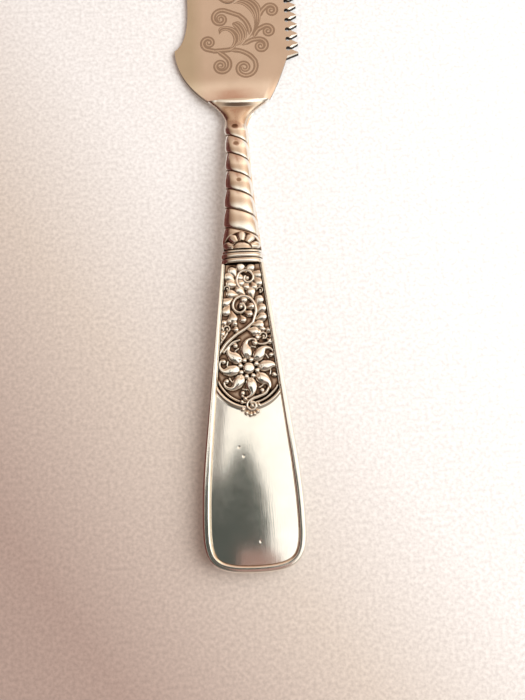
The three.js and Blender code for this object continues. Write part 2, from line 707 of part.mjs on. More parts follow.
function handleBack() {
  const inside = insideSkin(backCeiling, BACK_EDGE, 0, BACK_SKIN.length - 5);
  return handleBody([...inside.reverse(), ...BACK_SKIN]);
}

function handleFilling() {
  const above = insideSkin(frontCeiling - SOLDER_GAP, BORDER_WIDTH, SOLDER_GAP, 0);
  const below = insideSkin(backCeiling + SOLDER_GAP, BACK_EDGE, SOLDER_GAP, 0);
  const body = handleBody([...below.reverse(), ...above]);
  return cut(body, tangBar(TANG_END - SOLDER_GAP, NECK_STATION + SOLDER_GAP, SOLDER_GAP));
}

const silver = () => new THREE.MeshStandardMaterial({ color: 0xd9cfc2, metalness: 1, roughness: 0.25 });
const wornSilver = () => new THREE.MeshStandardMaterial({ color: 0xcdbfae, metalness: 1, roughness: 0.35 });
const cement = () => new THREE.MeshStandardMaterial({ color: 0x6b4a33, metalness: 0, roughness: 0.9 });

const knife = new THREE.Group();
for (const [name, geometry, material] of [
  ["blade", blade(), wornSilver()],
  ["stem", stem(), silver()],
  ["collar", collar(), silver()],
  ["collar_ring_rear", wireRing(REAR_RING_START), silver()],
  ["collar_ring_front", wireRing(FRONT_RING_START), silver()],
  ["handle_front", handleFront(), silver()],
  ["handle_back", handleBack(), silver()],
  ["handle_filling", handleFilling(), cement()],
]) {
  const mesh = new THREE.Mesh(geometry, material);
  mesh.name = name;
  knife.add(mesh);
}
knife.position.set((SPUR_REACH - TOOTH_REACH) / 2, -TIP / 2, 0);

export default knife;
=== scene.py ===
# A silver serving knife: the visual pieces, their materials, the floor, the light and the camera.
# Lengths are millimetres on the knife: x across, s along from the butt, z up. Pieces are made in metres.
import math

import bmesh
import bpy
import numpy as np
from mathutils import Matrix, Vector


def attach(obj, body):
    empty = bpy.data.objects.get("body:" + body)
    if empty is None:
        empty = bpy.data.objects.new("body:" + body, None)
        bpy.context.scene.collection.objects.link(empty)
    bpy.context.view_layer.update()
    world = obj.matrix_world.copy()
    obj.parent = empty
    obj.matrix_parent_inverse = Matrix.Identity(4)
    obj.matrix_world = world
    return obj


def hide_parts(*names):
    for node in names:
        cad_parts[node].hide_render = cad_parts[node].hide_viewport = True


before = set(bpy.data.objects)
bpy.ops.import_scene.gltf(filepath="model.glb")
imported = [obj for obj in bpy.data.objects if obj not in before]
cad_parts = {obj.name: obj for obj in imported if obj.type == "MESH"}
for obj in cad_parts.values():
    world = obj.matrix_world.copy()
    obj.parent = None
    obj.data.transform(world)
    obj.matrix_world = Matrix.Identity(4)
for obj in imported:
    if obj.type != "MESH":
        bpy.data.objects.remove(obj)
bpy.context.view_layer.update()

MM = 0.001

# Sizes shared with the solids
SOLDER_GAP = 0.15
HANDLE_LENGTH = 75.5
BUTT_WIDTH = 25.0
BUTT_SHOULDER = 10.5
BUTT_SQUARENESS = 0.8
TAPER_START = 30.0
TAPER_START_WIDTH = 22.4
NECK_WIDTH = 10.9
BORDER_RISE = 2.8
PANEL_RISE = 2.1
PANEL_CROWN = 0.2
BACK_DEPTH = 2.6
BORDER_WIDTH = 2.0
NECK_BORDER_WIDTH = 1.0
BORDER_TAPER_START = 25.0
BACK_EDGE = 1.8
SHELL_WALL = 0.8
UPRIGHT_SHARE = 0.3
ARCH_START = 14.0
ARCH_TOP = 92.0
ARCH_RISE = 3.0
RING_WIDTH = 1.2
RING_WIRE = 0.75
FLANGE_LENGTH = 0.65
FLANGE_STEP = 0.45
COLLAR_CORE_WIDTH = 9.2
COLLAR_CORE_HEIGHT = 4.9
COLLAR_FULLNESS = 2.4
STEM_LENGTH = 42.35
STEM_ROOT_WIDTH = 9.3
STEM_NECK_WIDTH = 5.4
STEM_ROOT_HEIGHT = 5.4
STEM_NECK_HEIGHT = 4.2
STEM_TAPER_POWER = 1.7
STEM_FULLNESS = 2.2
PALM_LEFT = 7.1
PALM_RIGHT = 9.2
PALM_HEIGHT = 2.5
PALM_FULLNESS = 4.2
PALM_FLARE_LENGTH = 9.7
PALM_FLARE_POWER = 4.2
PALM_LEFT_SWELL = 1.4
PALM_RIGHT_SWELL = 2.6
LAST_LIP_TO_CREST = 12.7
STRAND_PITCH = 5.2
STRAND_DEPTH = 0.5
BLADE_LENGTH = 144.0
BLADE_THICKNESS = 1.3
HEEL_RISE = 1.4
HEEL_RAMP = 9.5
HEEL_BOW = 2.0
BACK_REACH = 11.75
SPUR_REACH = 15.6
SPUR_FROM_CREST = 15.6
SPUR_NOTCH_LENGTH = 13.0
SPUR_HOOK = 2.1
HEEL_BULGE = 0.5
TOOTH_REACH = 17.7
TOOTH_DEPTH = 3.3
TOOTH_PITCH = 2.78
TOOTH_POINT_LENGTH = 1.7
THROAT_WIDTH = 0.7
GULLET_RADIUS = 0.6
FIRST_TOOTH_FROM_CREST = 12.2
TOOTHED_LENGTH = 106.0
TIP_SWEEP = 62.0
TIP_OFFSET = 6.5
TIP_FULLNESS = 5.2
TANG_WIDTH = 3.4
TANG_IN_HANDLE = 43.2

# Stations along the knife
COLLAR_START = HANDLE_LENGTH + SOLDER_GAP
REAR_RING_START = COLLAR_START + SOLDER_GAP
FRONT_RING_START = REAR_RING_START + RING_WIDTH + SOLDER_GAP
FLANGE_START = FRONT_RING_START + RING_WIDTH + SOLDER_GAP
COLLAR_END = FLANGE_START + FLANGE_LENGTH
STEM_START = COLLAR_END + SOLDER_GAP
CREST = STEM_START + STEM_LENGTH
HEEL_START = CREST + SOLDER_GAP
PLATE_START = HEEL_START + HEEL_RAMP
TIP = CREST + BLADE_LENGTH
TANG_END = HANDLE_LENGTH - TANG_IN_HANDLE
LAST_LIP = CREST - LAST_LIP_TO_CREST
FLARE_START = CREST - PALM_FLARE_LENGTH
ORIGIN = np.array([(SPUR_REACH - TOOTH_REACH) / 2, -TIP / 2, 0.0])

WELD = 2e-7
SHARP_ANGLE = math.radians(38)
BLADE_SHARP_ANGLE = math.radians(12)


# A share kept between none and all
def unit(share):
    return np.clip(share, 0.0, 1.0)


def smooth(low, high, value):
    share = unit((np.asarray(value, float) - low) / (high - low))
    return share * share * (3.0 - 2.0 * share)


def mix(low, high, share):
    return low + (high - low) * share


# A rounded rise: one where the gap is none, nothing from a gap of one on
def round_over(gap):
    return np.sqrt(unit(1.0 - gap))


# Angles of the sides of a round piece
def around(sides):
    return 2.0 * math.pi * np.arange(sides) / sides


def polar(centre, reach, degrees):
    angle = math.radians(degrees)
    return centre[0] + reach * math.cos(angle), centre[1] + reach * math.sin(angle)


# Height of the seam, tang and blade sheet at a station
def midline(station):
    sheet = BLADE_THICKNESS / 2
    fall = BACK_DEPTH + ARCH_RISE - HEEL_RISE - sheet
    arch = BACK_DEPTH + ARCH_RISE * smooth(ARCH_START, ARCH_TOP, station)
    handle = arch - fall * smooth(ARCH_TOP, HEEL_START, station)
    down = unit((np.asarray(station, float) - HEEL_START) / HEEL_RAMP)
    blade = sheet + HEEL_RISE * (1.0 - down) ** HEEL_BOW
    return np.where(np.asarray(station) >= HEEL_START, blade, handle)


def bezier(corners, shares):
    t = np.asarray(shares)[:, None]
    last = len(corners) - 1
    return sum(math.comb(last, i) * t ** i * (1 - t) ** (last - i) * np.asarray(corner, float)
               for i, corner in enumerate(corners))


# A smooth path through points, with a few steps to each span
def curve(points, steps=8):
    points = np.asarray(points, float)
    ends = np.vstack([2 * points[0] - points[1], points, 2 * points[-1] - points[-2]])
    path = []
    for i in range(1, len(ends) - 2):
        a, b, c, d = ends[i - 1:i + 3]
        for t in np.arange(steps) / steps:
            path.append(0.5 * (2 * b + (c - a) * t + (2 * a - 5 * b + 4 * c - d) * t ** 2
                               + (3 * b - a - 3 * c + d) * t ** 3))
    return np.array(path + [points[-1]])


def spiral(centre, start, sweep, radius, end_radius, steps):
    share = np.linspace(0.0, 1.0, steps)
    angle = np.radians(start + sweep * share)
    reach = radius * (end_radius / radius) ** share
    return np.stack([centre[0] + reach * np.cos(angle), centre[1] + reach * np.sin(angle)], 1)


# Meshes: faces of a grid whose columns close up round it
def grid_faces(rows, columns, close_rows=False):
    row = np.arange(rows if close_rows else rows - 1)
    r, c = np.meshgrid(row, np.arange(columns), indexing="ij")
    r_next, c_next = (r + 1) % rows, (c + 1) % columns
    corners = [r * columns + c, r * columns + c_next, r_next * columns + c_next, r_next * columns + c]
    return np.stack(corners, -1).reshape(-1, 4).tolist()


def add_object(name, data):
    made = bpy.data.objects.new(name, data)
    bpy.context.scene.collection.objects.link(made)
    return made


def finish_piece(name, mesh, material, replaced, sharp_angle=SHARP_ANGLE):
    mesh.shade_smooth()
    mesh.set_sharp_from_angle(angle=sharp_angle)
    mesh.materials.append(material)
    piece = add_object(name, mesh)
    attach(piece, "root")
    if replaced:
        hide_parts(replaced)


def add_piece(name, points, faces, material, replaced=None, recess=None):
    mesh = bpy.data.meshes.new(name)
    mesh.from_pydata(((points + ORIGIN) * MM).tolist(), [], faces)
    if recess is not None:
        layer = mesh.attributes.new("recess", "FLOAT", "POINT")
        layer.data.foreach_set("value", recess.ravel().astype(np.float32))
    work = bmesh.new()
    work.from_mesh(mesh)
    bmesh.ops.remove_doubles(work, verts=work.verts, dist=WELD)
    bmesh.ops.recalc_face_normals(work, faces=work.faces)
    work.to_mesh(mesh)
    work.free()
    finish_piece(name, mesh, material, replaced)


# A piece from a grid of places and heights over the seam: a closed ring, or a shell capped at its first row
def add_grid(name, x, s, height, material, replaced, recess=None, is_ring=False):
    rows, columns = x.shape
    faces = grid_faces(rows, columns, close_rows=is_ring)
    if not is_ring:
        faces.append(list(range(columns)))
    points = np.stack([x, s, midline(s) + height], -1).reshape(-1, 3)
    add_piece(name, points, faces, material, replaced, recess)


# Materials
def new_material(name):
    material = bpy.data.materials.new(name)
    material.use_nodes = True
    tree = material.node_tree
    return material, tree, tree.nodes["Principled BSDF"]


def add_node(tree, kind, settings=None, **links):
    made = tree.nodes.new(kind)
    for name, value in (settings or {}).items():
        if name in made.inputs:
            made.inputs[name].default_value = value
        else:
            setattr(made, name, value)
    for name, source in links.items():
        tree.links.new(source, made.inputs[name])
    return made


def color_ramp(tree, factor, stops):
    ramp = add_node(tree, "ShaderNodeValToRGB", Fac=factor)
    elements = ramp.color_ramp.elements
    while len(elements) < len(stops):
        elements.new(0.5)
    for element, (position, color) in zip(elements, stops):
        element.position = position
        element.color = (*color, 1.0)
    return ramp.outputs["Color"]


# A value stretched from one range to another
def stretched(tree, value, source=(0.0, 1.0), target=(0.0, 1.0)):
    ends = {"From Min": source[0], "From Max": source[1], "To Min": target[0], "To Max": target[1]}
    return add_node(tree, "ShaderNodeMapRange", ends, Value=value).outputs["Result"]


# One step of arithmetic on sockets and plain numbers
def arithmetic(tree, operation, *values):
    made = add_node(tree, "ShaderNodeMath", {"operation": operation})
    for socket, value in zip(made.inputs, values):
        if isinstance(value, float):
            socket.default_value = value
        else:
            tree.links.new(value, socket)
    return made.outputs["Value"]


def multiplied(tree, first, second):
    made = add_node(tree, "ShaderNodeMix", {"data_type": "RGBA", "blend_type": "MULTIPLY", "Factor": 1.0})
    tree.links.new(first, made.inputs[6])
    tree.links.new(second, made.inputs[7])
    return made.outputs[2]


def noise(tree, place, scale, detail=3.0, stretch=(1.0, 1.0, 1.0)):
    mapping = add_node(tree, "ShaderNodeMapping", {"Scale": stretch}, Vector=place)
    made = add_node(tree, "ShaderNodeTexNoise", {"Scale": scale, "Detail": detail},
                    Vector=mapping.outputs["Vector"])
    return made.outputs["Fac"]


def add_bump(tree, shader, height, strength, distance):
    bump = add_node(tree, "ShaderNodeBump", {"Strength": strength, "Distance": distance}, Height=height)
    tree.links.new(bump.outputs["Normal"], shader.inputs["Normal"])


# The output shows the first shader, and by a share the second
def blend_shaders(tree, share, first, second, output):
    blend = tree.nodes.new("ShaderNodeMixShader")
    for socket, source in zip(blend.inputs, (share, first.outputs[0], second.outputs[0])):
        tree.links.new(source, socket)
    tree.links.new(blend.outputs[0], tree.nodes[output].inputs["Surface"])


# Silver rubbed bright on its heights and darkened by its recess value: tarnish in its hollows, and painted
# shade and shadow in its gaps, grooves, side walls and leaf roots
SILVER_CLEAN = (0.95, 0.92, 0.86)
SILVER_WARM = (0.70, 0.58, 0.47)
BLADE_CLEAN = (0.9, 0.85, 0.79)
TARNISH_AND_SHADE_BROWN = (0.22, 0.13, 0.085)
TARNISH_AND_SHADE_BLACK = (0.012, 0.008, 0.006)
CLOUD_LOW, CLOUD_HIGH = (0.93, 0.92, 0.91), (1.0, 1.0, 1.0)
CLOUD_SCALE = 160.0
POLISH_SCALE = 420.0
POLISH_SPREAD = 0.3
RECESS_ROUGHNESS = 0.25
SCRATCH_SCALE = 700.0
SCRATCH_STRETCH = (6.0, 0.35, 6.0)
SCRATCH_HEIGHT = 2e-5
# Greenish tint across the back edge of the blade: a painted reflection
PAINTED_BACK_REFLECTION = (0.83, 0.86, 0.79)
PAINTED_BACK_REFLECTION_SPAN = (-0.0122, -0.0085)


def silver(name, clean, roughness, scratch_depth, painted_back_reflection=None):
    material, tree, shader = new_material(name)
    shader.inputs["Metallic"].default_value = 1.0
    place = add_node(tree, "ShaderNodeTexCoord").outputs["Object"]
    recess = add_node(tree, "ShaderNodeAttribute", {"attribute_name": "recess"}).outputs["Fac"]
    # Tarnish and painted shade: clean, warm, brown and black as the recess value grows
    tarnish_and_shade = color_ramp(tree, recess, [(0.0, clean), (0.3, SILVER_WARM), (0.62, TARNISH_AND_SHADE_BROWN),
                                       (1.0, TARNISH_AND_SHADE_BLACK)])
    clouds = color_ramp(tree, noise(tree, place, CLOUD_SCALE), [(0.3, CLOUD_LOW), (0.7, CLOUD_HIGH)])
    color = multiplied(tree, tarnish_and_shade, clouds)
    # Painted reflection: a greenish tint toward the blade's back edge
    if painted_back_reflection:
        across = add_node(tree, "ShaderNodeSeparateXYZ", Vector=place).outputs["X"]
        share = stretched(tree, across, PAINTED_BACK_REFLECTION_SPAN)
        color = multiplied(tree, color, color_ramp(tree, share, [(0.0, painted_back_reflection), (1.0, CLOUD_HIGH)]))
    tree.links.new(color, shader.inputs["Base Color"])
    polish = noise(tree, place, POLISH_SCALE, 4.0)
    worn = stretched(tree, polish, target=(roughness * (1 - POLISH_SPREAD), roughness * (1 + POLISH_SPREAD)))
    dull = arithmetic(tree, "MULTIPLY_ADD", recess, RECESS_ROUGHNESS, worn)
    tree.links.new(dull, shader.inputs["Roughness"])
    scratches = noise(tree, place, SCRATCH_SCALE, 2.0, SCRATCH_STRETCH)
    add_bump(tree, shader, scratches, scratch_depth, SCRATCH_HEIGHT)
    return material


handle_silver = silver("handle_silver", SILVER_CLEAN, 0.1, 0.18)
stem_silver = silver("stem_silver", SILVER_CLEAN, 0.2, 0.2)
blade_silver = silver("blade_silver", BLADE_CLEAN, 0.17, 0.3, PAINTED_BACK_REFLECTION)
engraved_silver = silver("engraved_silver", (0.48, 0.4, 0.335), 0.25, 0.2)
line_silver = silver("line_silver", (0.82, 0.74, 0.66), 0.2, 0.2)


# Handle plan: ribs of the right half, from the collar end round to the middle of the butt
ORNAMENT_RIBS = 360
FLANK_RIBS = 130
CORNER_RIBS = 90
FIELD_LOWEST = 37.0
BORDER_CREST = 0.55
BORDER_TOP_END = 1.4
BORDER_TOP_FALL = 0.065
BORDER_FOOT = 1.88
GROOVE_DEPTH = 0.08
GROOVE_WIDTH = 0.06
BORDER_STEPS = 12


def handle_ribs():
    slope = (TAPER_START_WIDTH - NECK_WIDTH) / 2 / (HANDLE_LENGTH - TAPER_START)
    fine = np.linspace(HANDLE_LENGTH, FIELD_LOWEST, ORNAMENT_RIBS, endpoint=False)
    coarse = np.linspace(FIELD_LOWEST, TAPER_START, FLANK_RIBS // 2, endpoint=False)
    stations = np.concatenate([fine, coarse])
    taper = np.stack([NECK_WIDTH / 2 + slope * (HANDLE_LENGTH - stations), stations], 1)
    lean = (TAPER_START - BUTT_SHOULDER) / 3
    half_start, half_butt = TAPER_START_WIDTH / 2, BUTT_WIDTH / 2
    flank = bezier([(half_start, TAPER_START), (half_start + slope * lean, TAPER_START - lean),
                    (half_butt, BUTT_SHOULDER + lean), (half_butt, BUTT_SHOULDER)],
                   np.linspace(0.0, 1.0, FLANK_RIBS, endpoint=False))
    corner = bezier([(half_butt, BUTT_SHOULDER), (half_butt, BUTT_SHOULDER * (1 - BUTT_SQUARENESS)),
                     (half_butt * BUTT_SQUARENESS, 0.0), (0.0, 0.0)], np.linspace(0.0, 1.0, CORNER_RIBS))
    edge = np.vstack([taper, flank, corner])
    along = np.gradient(edge, axis=0)
    along[0] = along[1]
    along[-1] = (-1.0, 0.0)
    along /= np.linalg.norm(along, axis=1, keepdims=True)
    inward = np.stack([along[:, 1], -along[:, 0]], 1)
    inward[0] = (1.0 / inward[0, 0], 0.0)
    return edge, inward


EDGE, INWARD = handle_ribs()


# The border narrows toward the collar end
def border_share(s):
    share = unit((s - BORDER_TAPER_START) / (HANDLE_LENGTH - BORDER_TAPER_START))
    return mix(1.0, NECK_BORDER_WIDTH / BORDER_WIDTH, share)


# Border from its outer wall over its top, which leans inward, to its foot and groove, as [inset, height]
def border_profile():
    wall = UPRIGHT_SHARE * BORDER_RISE
    top = BORDER_RISE - BORDER_TOP_FALL
    floor_of_groove = PANEL_RISE - GROOVE_DEPTH
    profile = [(0.0, SOLDER_GAP / 2)]
    turns = np.linspace(0.0, math.pi / 2, BORDER_STEPS)
    for turn in turns:
        profile.append((BORDER_CREST * (1 - math.cos(turn)), mix(wall, BORDER_RISE, math.sin(turn))))
    for turn in turns:
        inset = mix(BORDER_TOP_END, BORDER_FOOT, math.sin(turn))
        profile.append((inset, mix(PANEL_RISE, top, math.cos(turn))))
    return profile + [(BORDER_WIDTH - GROOVE_WIDTH, floor_of_groove), (BORDER_WIDTH, floor_of_groove)]


# Ornament on the handle, its places measured as x and s
ROSETTE = (0.4, 49.4)
PETALS = 8
PETAL_TURN = 5.0
BEAD_RING = 2.15
BEAD_RADIUS = 0.64
BOSS_RADIUS = 1.5
# Spine of one petal: [reach, swing, half width, share of the rise]
PETAL_SPINE = [(2.9, 0, 0.65, 0.7), (3.5, 0, 1.25, 0.95), (4.3, 1, 1.45, 1.0), (5.1, 2, 1.2, 0.95),
               (6.0, 1, 0.8, 0.85), (6.8, -4, 0.52, 0.75), (7.3, -12, 0.38, 0.7), (7.25, -19, 0.33, 0.7),
               (6.8, -24, 0.32, 0.7)]
# Ball in a petal's curled end: [reach, swing, radius], and bar beside it: [reach, swing, length, radius]
CURL_BALL = (6.4, -21.5, 0.66)
PETAL_BAR = (5.4, -19.0, 1.0, 0.26)
BALL_GAP = 0.4
PANEL_PITS = [(-2.9, 30.1, 0.36), (-1.9, 27.9, 0.34), (1.3, 7.4, 0.34), (9.6, 25.9, 0.3)]
PIT_DEPTH = 0.05
PIT_FLOOR = 0.2
GROUND_RISE = 1.5
MOTIF_RISE = 0.8
BOSS_RISE = MOTIF_RISE * 1.05
BALL_RISE = MOTIF_RISE * 0.9
BAR_RISE = MOTIF_RISE * 0.6
STALK_RISE = MOTIF_RISE * 0.8
FLOWER_RISE = MOTIF_RISE * 0.9
FINIAL_RISE = MOTIF_RISE * 0.95
FINIAL_STALK_RISE = MOTIF_RISE * 0.9
LOW_GROUND = (0.15, 0.4)
EDGE_CLEARANCE = 0.3
GROOVE_SHADE = 0.9
GROOVE_LENGTH = 7.0
RIDGE_FLATNESS = 2.6
BEAD_FLATNESS = 3.4
BOSS_FLATNESS = 5.0
LEAF_ROOT_WIDTH = 0.35
LEAF_ROOT_RISE = 0.6
LEAF_BLUNTNESS = 2.2
LEAF_FLATNESS = 0.36
LEAF_SHADE = 0.32
LEAF_MARGIN = 0.8
LEAF = (3.4, 2.55)
SMALL_LEAF = (2.5, 2.05)
FLOWER_LEAF = (1.95, 1.75)
FINIAL_LEAF = (1.5, 1.15)
LOWER_SCROLL = (-0.85, 64.75)
UPPER_SCROLL = (1.05, 71.96)
# Spirals of the scrolls: [start, sweep, radius, end radius, steps]
LOWER_SPIRAL = (-30.0, 490.0, 4.03, 0.72, 90)
UPPER_SPIRAL = (228.0, -450.0, 3.05, 0.7, 80)
SCROLL_FOOT = [(-7.6, 51.78), (-7.0, 52.78), (-6.0, 54.17), (-4.9, 55.65), (-2.7, 57.54), (0.2, 59.32),
               (1.9, 60.71)]
FOOT_RADIUS, LOWER_END_RADIUS, UPPER_RADIUS = 0.5, 0.36, 0.4
SCROLL_EYE = 0.58
SCROLL_EYE_GAP = (0.55, 1.05)
# Leaves about the scrolls: [scroll, lean from the way out, leaf, places]
LEAF_SETS = [
    (LOWER_SCROLL, 50.0, LEAF, [(1.8, 58.63), (3.1, 60.1), (4.0, 61.9), (4.1, 63.95), (3.7, 66.0),
                                (1.9, 68.11), (-0.75, 68.67), (-2.8, 68.02), (-4.2, 66.24), (-4.4, 64.16),
                                (-3.0, 62.38)]),
    (LOWER_SCROLL, 20.0, SMALL_LEAF, [(1.45, 64.75), (0.9, 63.07), (-0.6, 61.79), (-0.1, 66.15)]),
    (UPPER_SCROLL, -36.0, LEAF, [(-2.75, 70.56), (-3.2, 72.17), (-2.4, 73.54), (-0.6, 74.62), (1.6, 74.42),
                                 (3.4, 72.95), (3.6, 71.22)]),
    (UPPER_SCROLL, -15.0, SMALL_LEAF, [(-0.35, 70.93), (0.8, 70.18), (2.5, 70.08), (-0.5, 72.07)]),
]
LEFT_FLOWER = (-4.55, 59.22)
RIGHT_FLOWER = (4.4, 57.14)
FLOWERS = [
    (LEFT_FLOWER, [(-5.2, 60.71), (-4.0, 61.0), (-2.8, 60.51), (-5.9, 59.62), (-5.6, 58.43), (-2.6, 59.13)]),
    (RIGHT_FLOWER, [(3.1, 57.04), (3.4, 58.03), (4.25, 58.73), (5.55, 58.43), (6.3, 57.04), (5.85, 55.95)]),
]
CURLS = [((-4.1, 69.42), 0.8), ((4.1, 68.7), 0.85), ((-6.0, 56.84), 0.7), (LEFT_FLOWER, 0.95),
         (RIGHT_FLOWER, 1.0)]
# Sizes of a curl as shares of its radius, and how it winds on the left and on the right
CURL_EYE, CURL_GAP, CURL_END, CURL_WIRE = 0.42, 0.78, 0.62, 0.27
CURL_STEPS = 28
CURL_STARTS = (200.0, 170.0)
CURL_SWEEP = -280.0
# Painted shade in the gaps round a ball, a scroll's eye and a curl's eye, and the softness of their edges
BALL_GAP_SHADE, EYE_GAP_SHADE, CURL_GAP_SHADE = 0.85, 0.95, 0.9
SHADE_RING_OUT, SHADE_RING_IN = 0.12, 0.06
STALKS = [[(-7.2, 54.17), (-6.5, 55.55), (-5.4, 57.04), (-4.6, 58.23)],
          [(-7.3, 55.46), (-6.7, 56.45), (-6.1, 57.44)],
          [(1.7, 55.85), (3.4, 55.26), (5.2, 55.46), (6.0, 56.25)],
          [(-5.6, 53.47), (-3.6, 55.65), (-1.6, 56.45)]]
STALK_RADIUS = 0.33
FINIAL = (0.8, 40.1)
FINIAL_RADIUS = 1.3
FINIAL_START, FINIAL_SWEEP = 150.0, 330.0
FINIAL_LOBES = [(-1.5, 41.0), (-0.7, 41.7), (-1.3, 39.3), (-0.5, 38.5), (0.4, 38.1), (1.2, 38.3), (1.9, 38.8),
                (2.2, 40.2)]
FINIAL_STALK = [(5.0, 44.2), (4.2, 43.0), (2.6, 42.3), (0.9, 41.7), (-0.3, 40.8), (-0.4, 39.6)]
FINIAL_STALK_RADIUS = 0.4
FINIAL_SINK = 0.3
FINIAL_LEAST = 0.12
# Lower end of the ornament: a thread, a groove and the rim of the plain panel
THREAD_REACH, THREAD_SAG, THREAD_RADIUS, THREAD_END = 8.2, 0.4, 0.36, 0.12
RIM_REACH, RIM_SAG, RIM_RISE, RIM_WIDTH, RIM_SHIFT = 9.2, 0.5, 0.26, 0.42, 0.1
RIM_WALL = (-0.42, -0.28)
PANEL_LIP = 0.985


# Height above the ground of one panel, raised motif by motif, with the painted shade of its gaps and leaf
# roots
class Relief:
    def __init__(self, x, s):
        self.x = x
        self.s = s
        self.height = np.zeros(x.shape)
        self.dark = np.zeros(x.shape)
        self.shade = np.zeros(x.shape)

    def near(self, points, margin):
        low = points.min(0) - margin
        high = points.max(0) + margin
        return (self.x > low[0]) & (self.x < high[0]) & (self.s > low[1]) & (self.s < high[1])

    # Spots in a square about a place, with their offsets from it
    def spots(self, place, margin):
        inside = self.near(np.array([place]), margin)
        return inside, self.x[inside] - place[0], self.s[inside] - place[1]

    # Distance to a path, counted in its own radius, and the rank of the nearest point
    def path_distance(self, points, radii):
        inside = self.near(points, max(radii) * 1.1)
        x, s = self.x[inside], self.s[inside]
        best = np.full(x.shape, np.inf)
        rank = np.zeros(x.shape)
        for i in range(len(points) - 1):
            (ax, a_s), (bx, b_s) = points[i], points[i + 1]
            dx, ds = bx - ax, b_s - a_s
            share = unit(((x - ax) * dx + (s - a_s) * ds) / (dx * dx + ds * ds + 1e-9))
            gap = np.hypot(x - ax - share * dx, s - a_s - share * ds)
            gap = gap / mix(radii[i], radii[i + 1], share)
            closer = gap < best
            best = np.where(closer, gap, best)
            rank = np.where(closer, i + share, rank)
        return inside, best, rank

    def raise_to(self, inside, height, shade=0.0):
        over = height > self.height[inside]
        self.shade[inside] = np.where(over, shade, self.shade[inside])
        self.height[inside] = np.maximum(self.height[inside], height)

    def ridge(self, points, radii, rises):
        points = np.asarray(points)
        inside, gap, rank = self.path_distance(points, radii)
        rise = np.interp(rank, np.arange(len(points)), rises)
        self.raise_to(inside, rise * round_over(gap ** RIDGE_FLATNESS))

    def wire(self, points, radius, rise=MOTIF_RISE):
        self.ridge(points, [radius] * len(points), [rise] * len(points))

    def bead(self, place, radius, rise=MOTIF_RISE, flatness=BEAD_FLATNESS):
        inside, dx, ds = self.spots(place, radius)
        self.raise_to(inside, rise * round_over((np.hypot(dx, ds) / radius) ** flatness))

    # A leaf lobe: narrow and low at its root, with painted shade there, round at its tip
    def leaf(self, place, heading, size, rise=MOTIF_RISE):
        length, width = size
        inside, dx, ds = self.spots(place, length * LEAF_MARGIN)
        cos, sin = math.cos(math.radians(heading)), math.sin(math.radians(heading))
        along = (dx * cos + ds * sin) / (length / 2)
        half_width = width / 2 * mix(LEAF_ROOT_WIDTH, 1.0, smooth(-1.0, 0.4, along))
        across = (ds * cos - dx * sin) / half_width
        fill = unit(1.0 - np.abs(along) ** LEAF_BLUNTNESS - across ** 2)
        climb = mix(LEAF_ROOT_RISE, 1.0, smooth(-1.0, 0.8, along))
        self.raise_to(inside, rise * climb * fill ** LEAF_FLATNESS, LEAF_SHADE * smooth(0.45, -0.9, along))

    # Leaves about a centre, leaning from the way out
    def leaves(self, centre, lean, size, places, rise=MOTIF_RISE):
        for x, s in places:
            outward = math.degrees(math.atan2(s - centre[1], x - centre[0]))
            self.leaf((x, s), outward + lean, size, rise)

    # Painted shade in a ring about a place
    def shade_ring(self, place, inner, outer, amount):
        inside, dx, ds = self.spots(place, outer + 0.2)
        gap = np.hypot(dx, ds)
        ring = smooth(inner - SHADE_RING_OUT, inner + SHADE_RING_IN, gap) * smooth(outer + SHADE_RING_OUT, outer - SHADE_RING_IN, gap)
        self.dark[inside] = np.maximum(self.dark[inside], amount * ring)

    # A small curl: a hooked wire round a ball, with painted shade in the gap between
    def curl(self, place, radius, start, sweep):
        self.shade_ring(place, radius * CURL_EYE, radius * CURL_GAP, CURL_GAP_SHADE)
        self.bead(place, radius * CURL_EYE)
        hook = spiral(place, start, sweep, radius, radius * CURL_END, CURL_STEPS)
        self.wire(hook, radius * CURL_WIRE)


def add_rosette(relief):
    reach, swing, radius = CURL_BALL
    bar_reach, bar_swing, bar_length, bar_radius = PETAL_BAR
    for petal in range(PETALS):
        turn = PETAL_TURN + 360.0 * petal / PETALS
        spine = curve([(*polar(ROSETTE, r, turn + a), width, rise) for r, a, width, rise in PETAL_SPINE], 6)
        relief.ridge(spine[:, :2], spine[:, 2], spine[:, 3] * MOTIF_RISE)
        ball = polar(ROSETTE, reach, turn + swing)
        relief.shade_ring(ball, radius, radius + BALL_GAP, BALL_GAP_SHADE)
        relief.bead(ball, radius, BALL_RISE)
        middle = np.array(polar(ROSETTE, bar_reach, turn + bar_swing))
        side = np.array(polar((0.0, 0.0), bar_length / 2, turn + bar_swing + 90))
        relief.wire([middle - side, middle + side], bar_radius, BAR_RISE)
        between = polar(ROSETTE, BEAD_RING, turn + 180.0 / PETALS)
        relief.bead(between, BEAD_RADIUS, flatness=BOSS_FLATNESS)
    relief.bead(ROSETTE, BOSS_RADIUS, BOSS_RISE, BOSS_FLATNESS)


def add_scrolls(relief):
    lower = np.vstack([curve(SCROLL_FOOT), spiral(LOWER_SCROLL, *LOWER_SPIRAL)])
    share = np.linspace(0.0, 1.0, len(lower))
    relief.ridge(lower, mix(FOOT_RADIUS, LOWER_END_RADIUS, share), [MOTIF_RISE] * len(lower))
    relief.wire(spiral(UPPER_SCROLL, *UPPER_SPIRAL), UPPER_RADIUS)
    for leaf_set in LEAF_SETS:
        relief.leaves(*leaf_set)
    for centre in (LOWER_SCROLL, UPPER_SCROLL):
        relief.shade_ring(centre, *SCROLL_EYE_GAP, EYE_GAP_SHADE)
        relief.bead(centre, SCROLL_EYE)


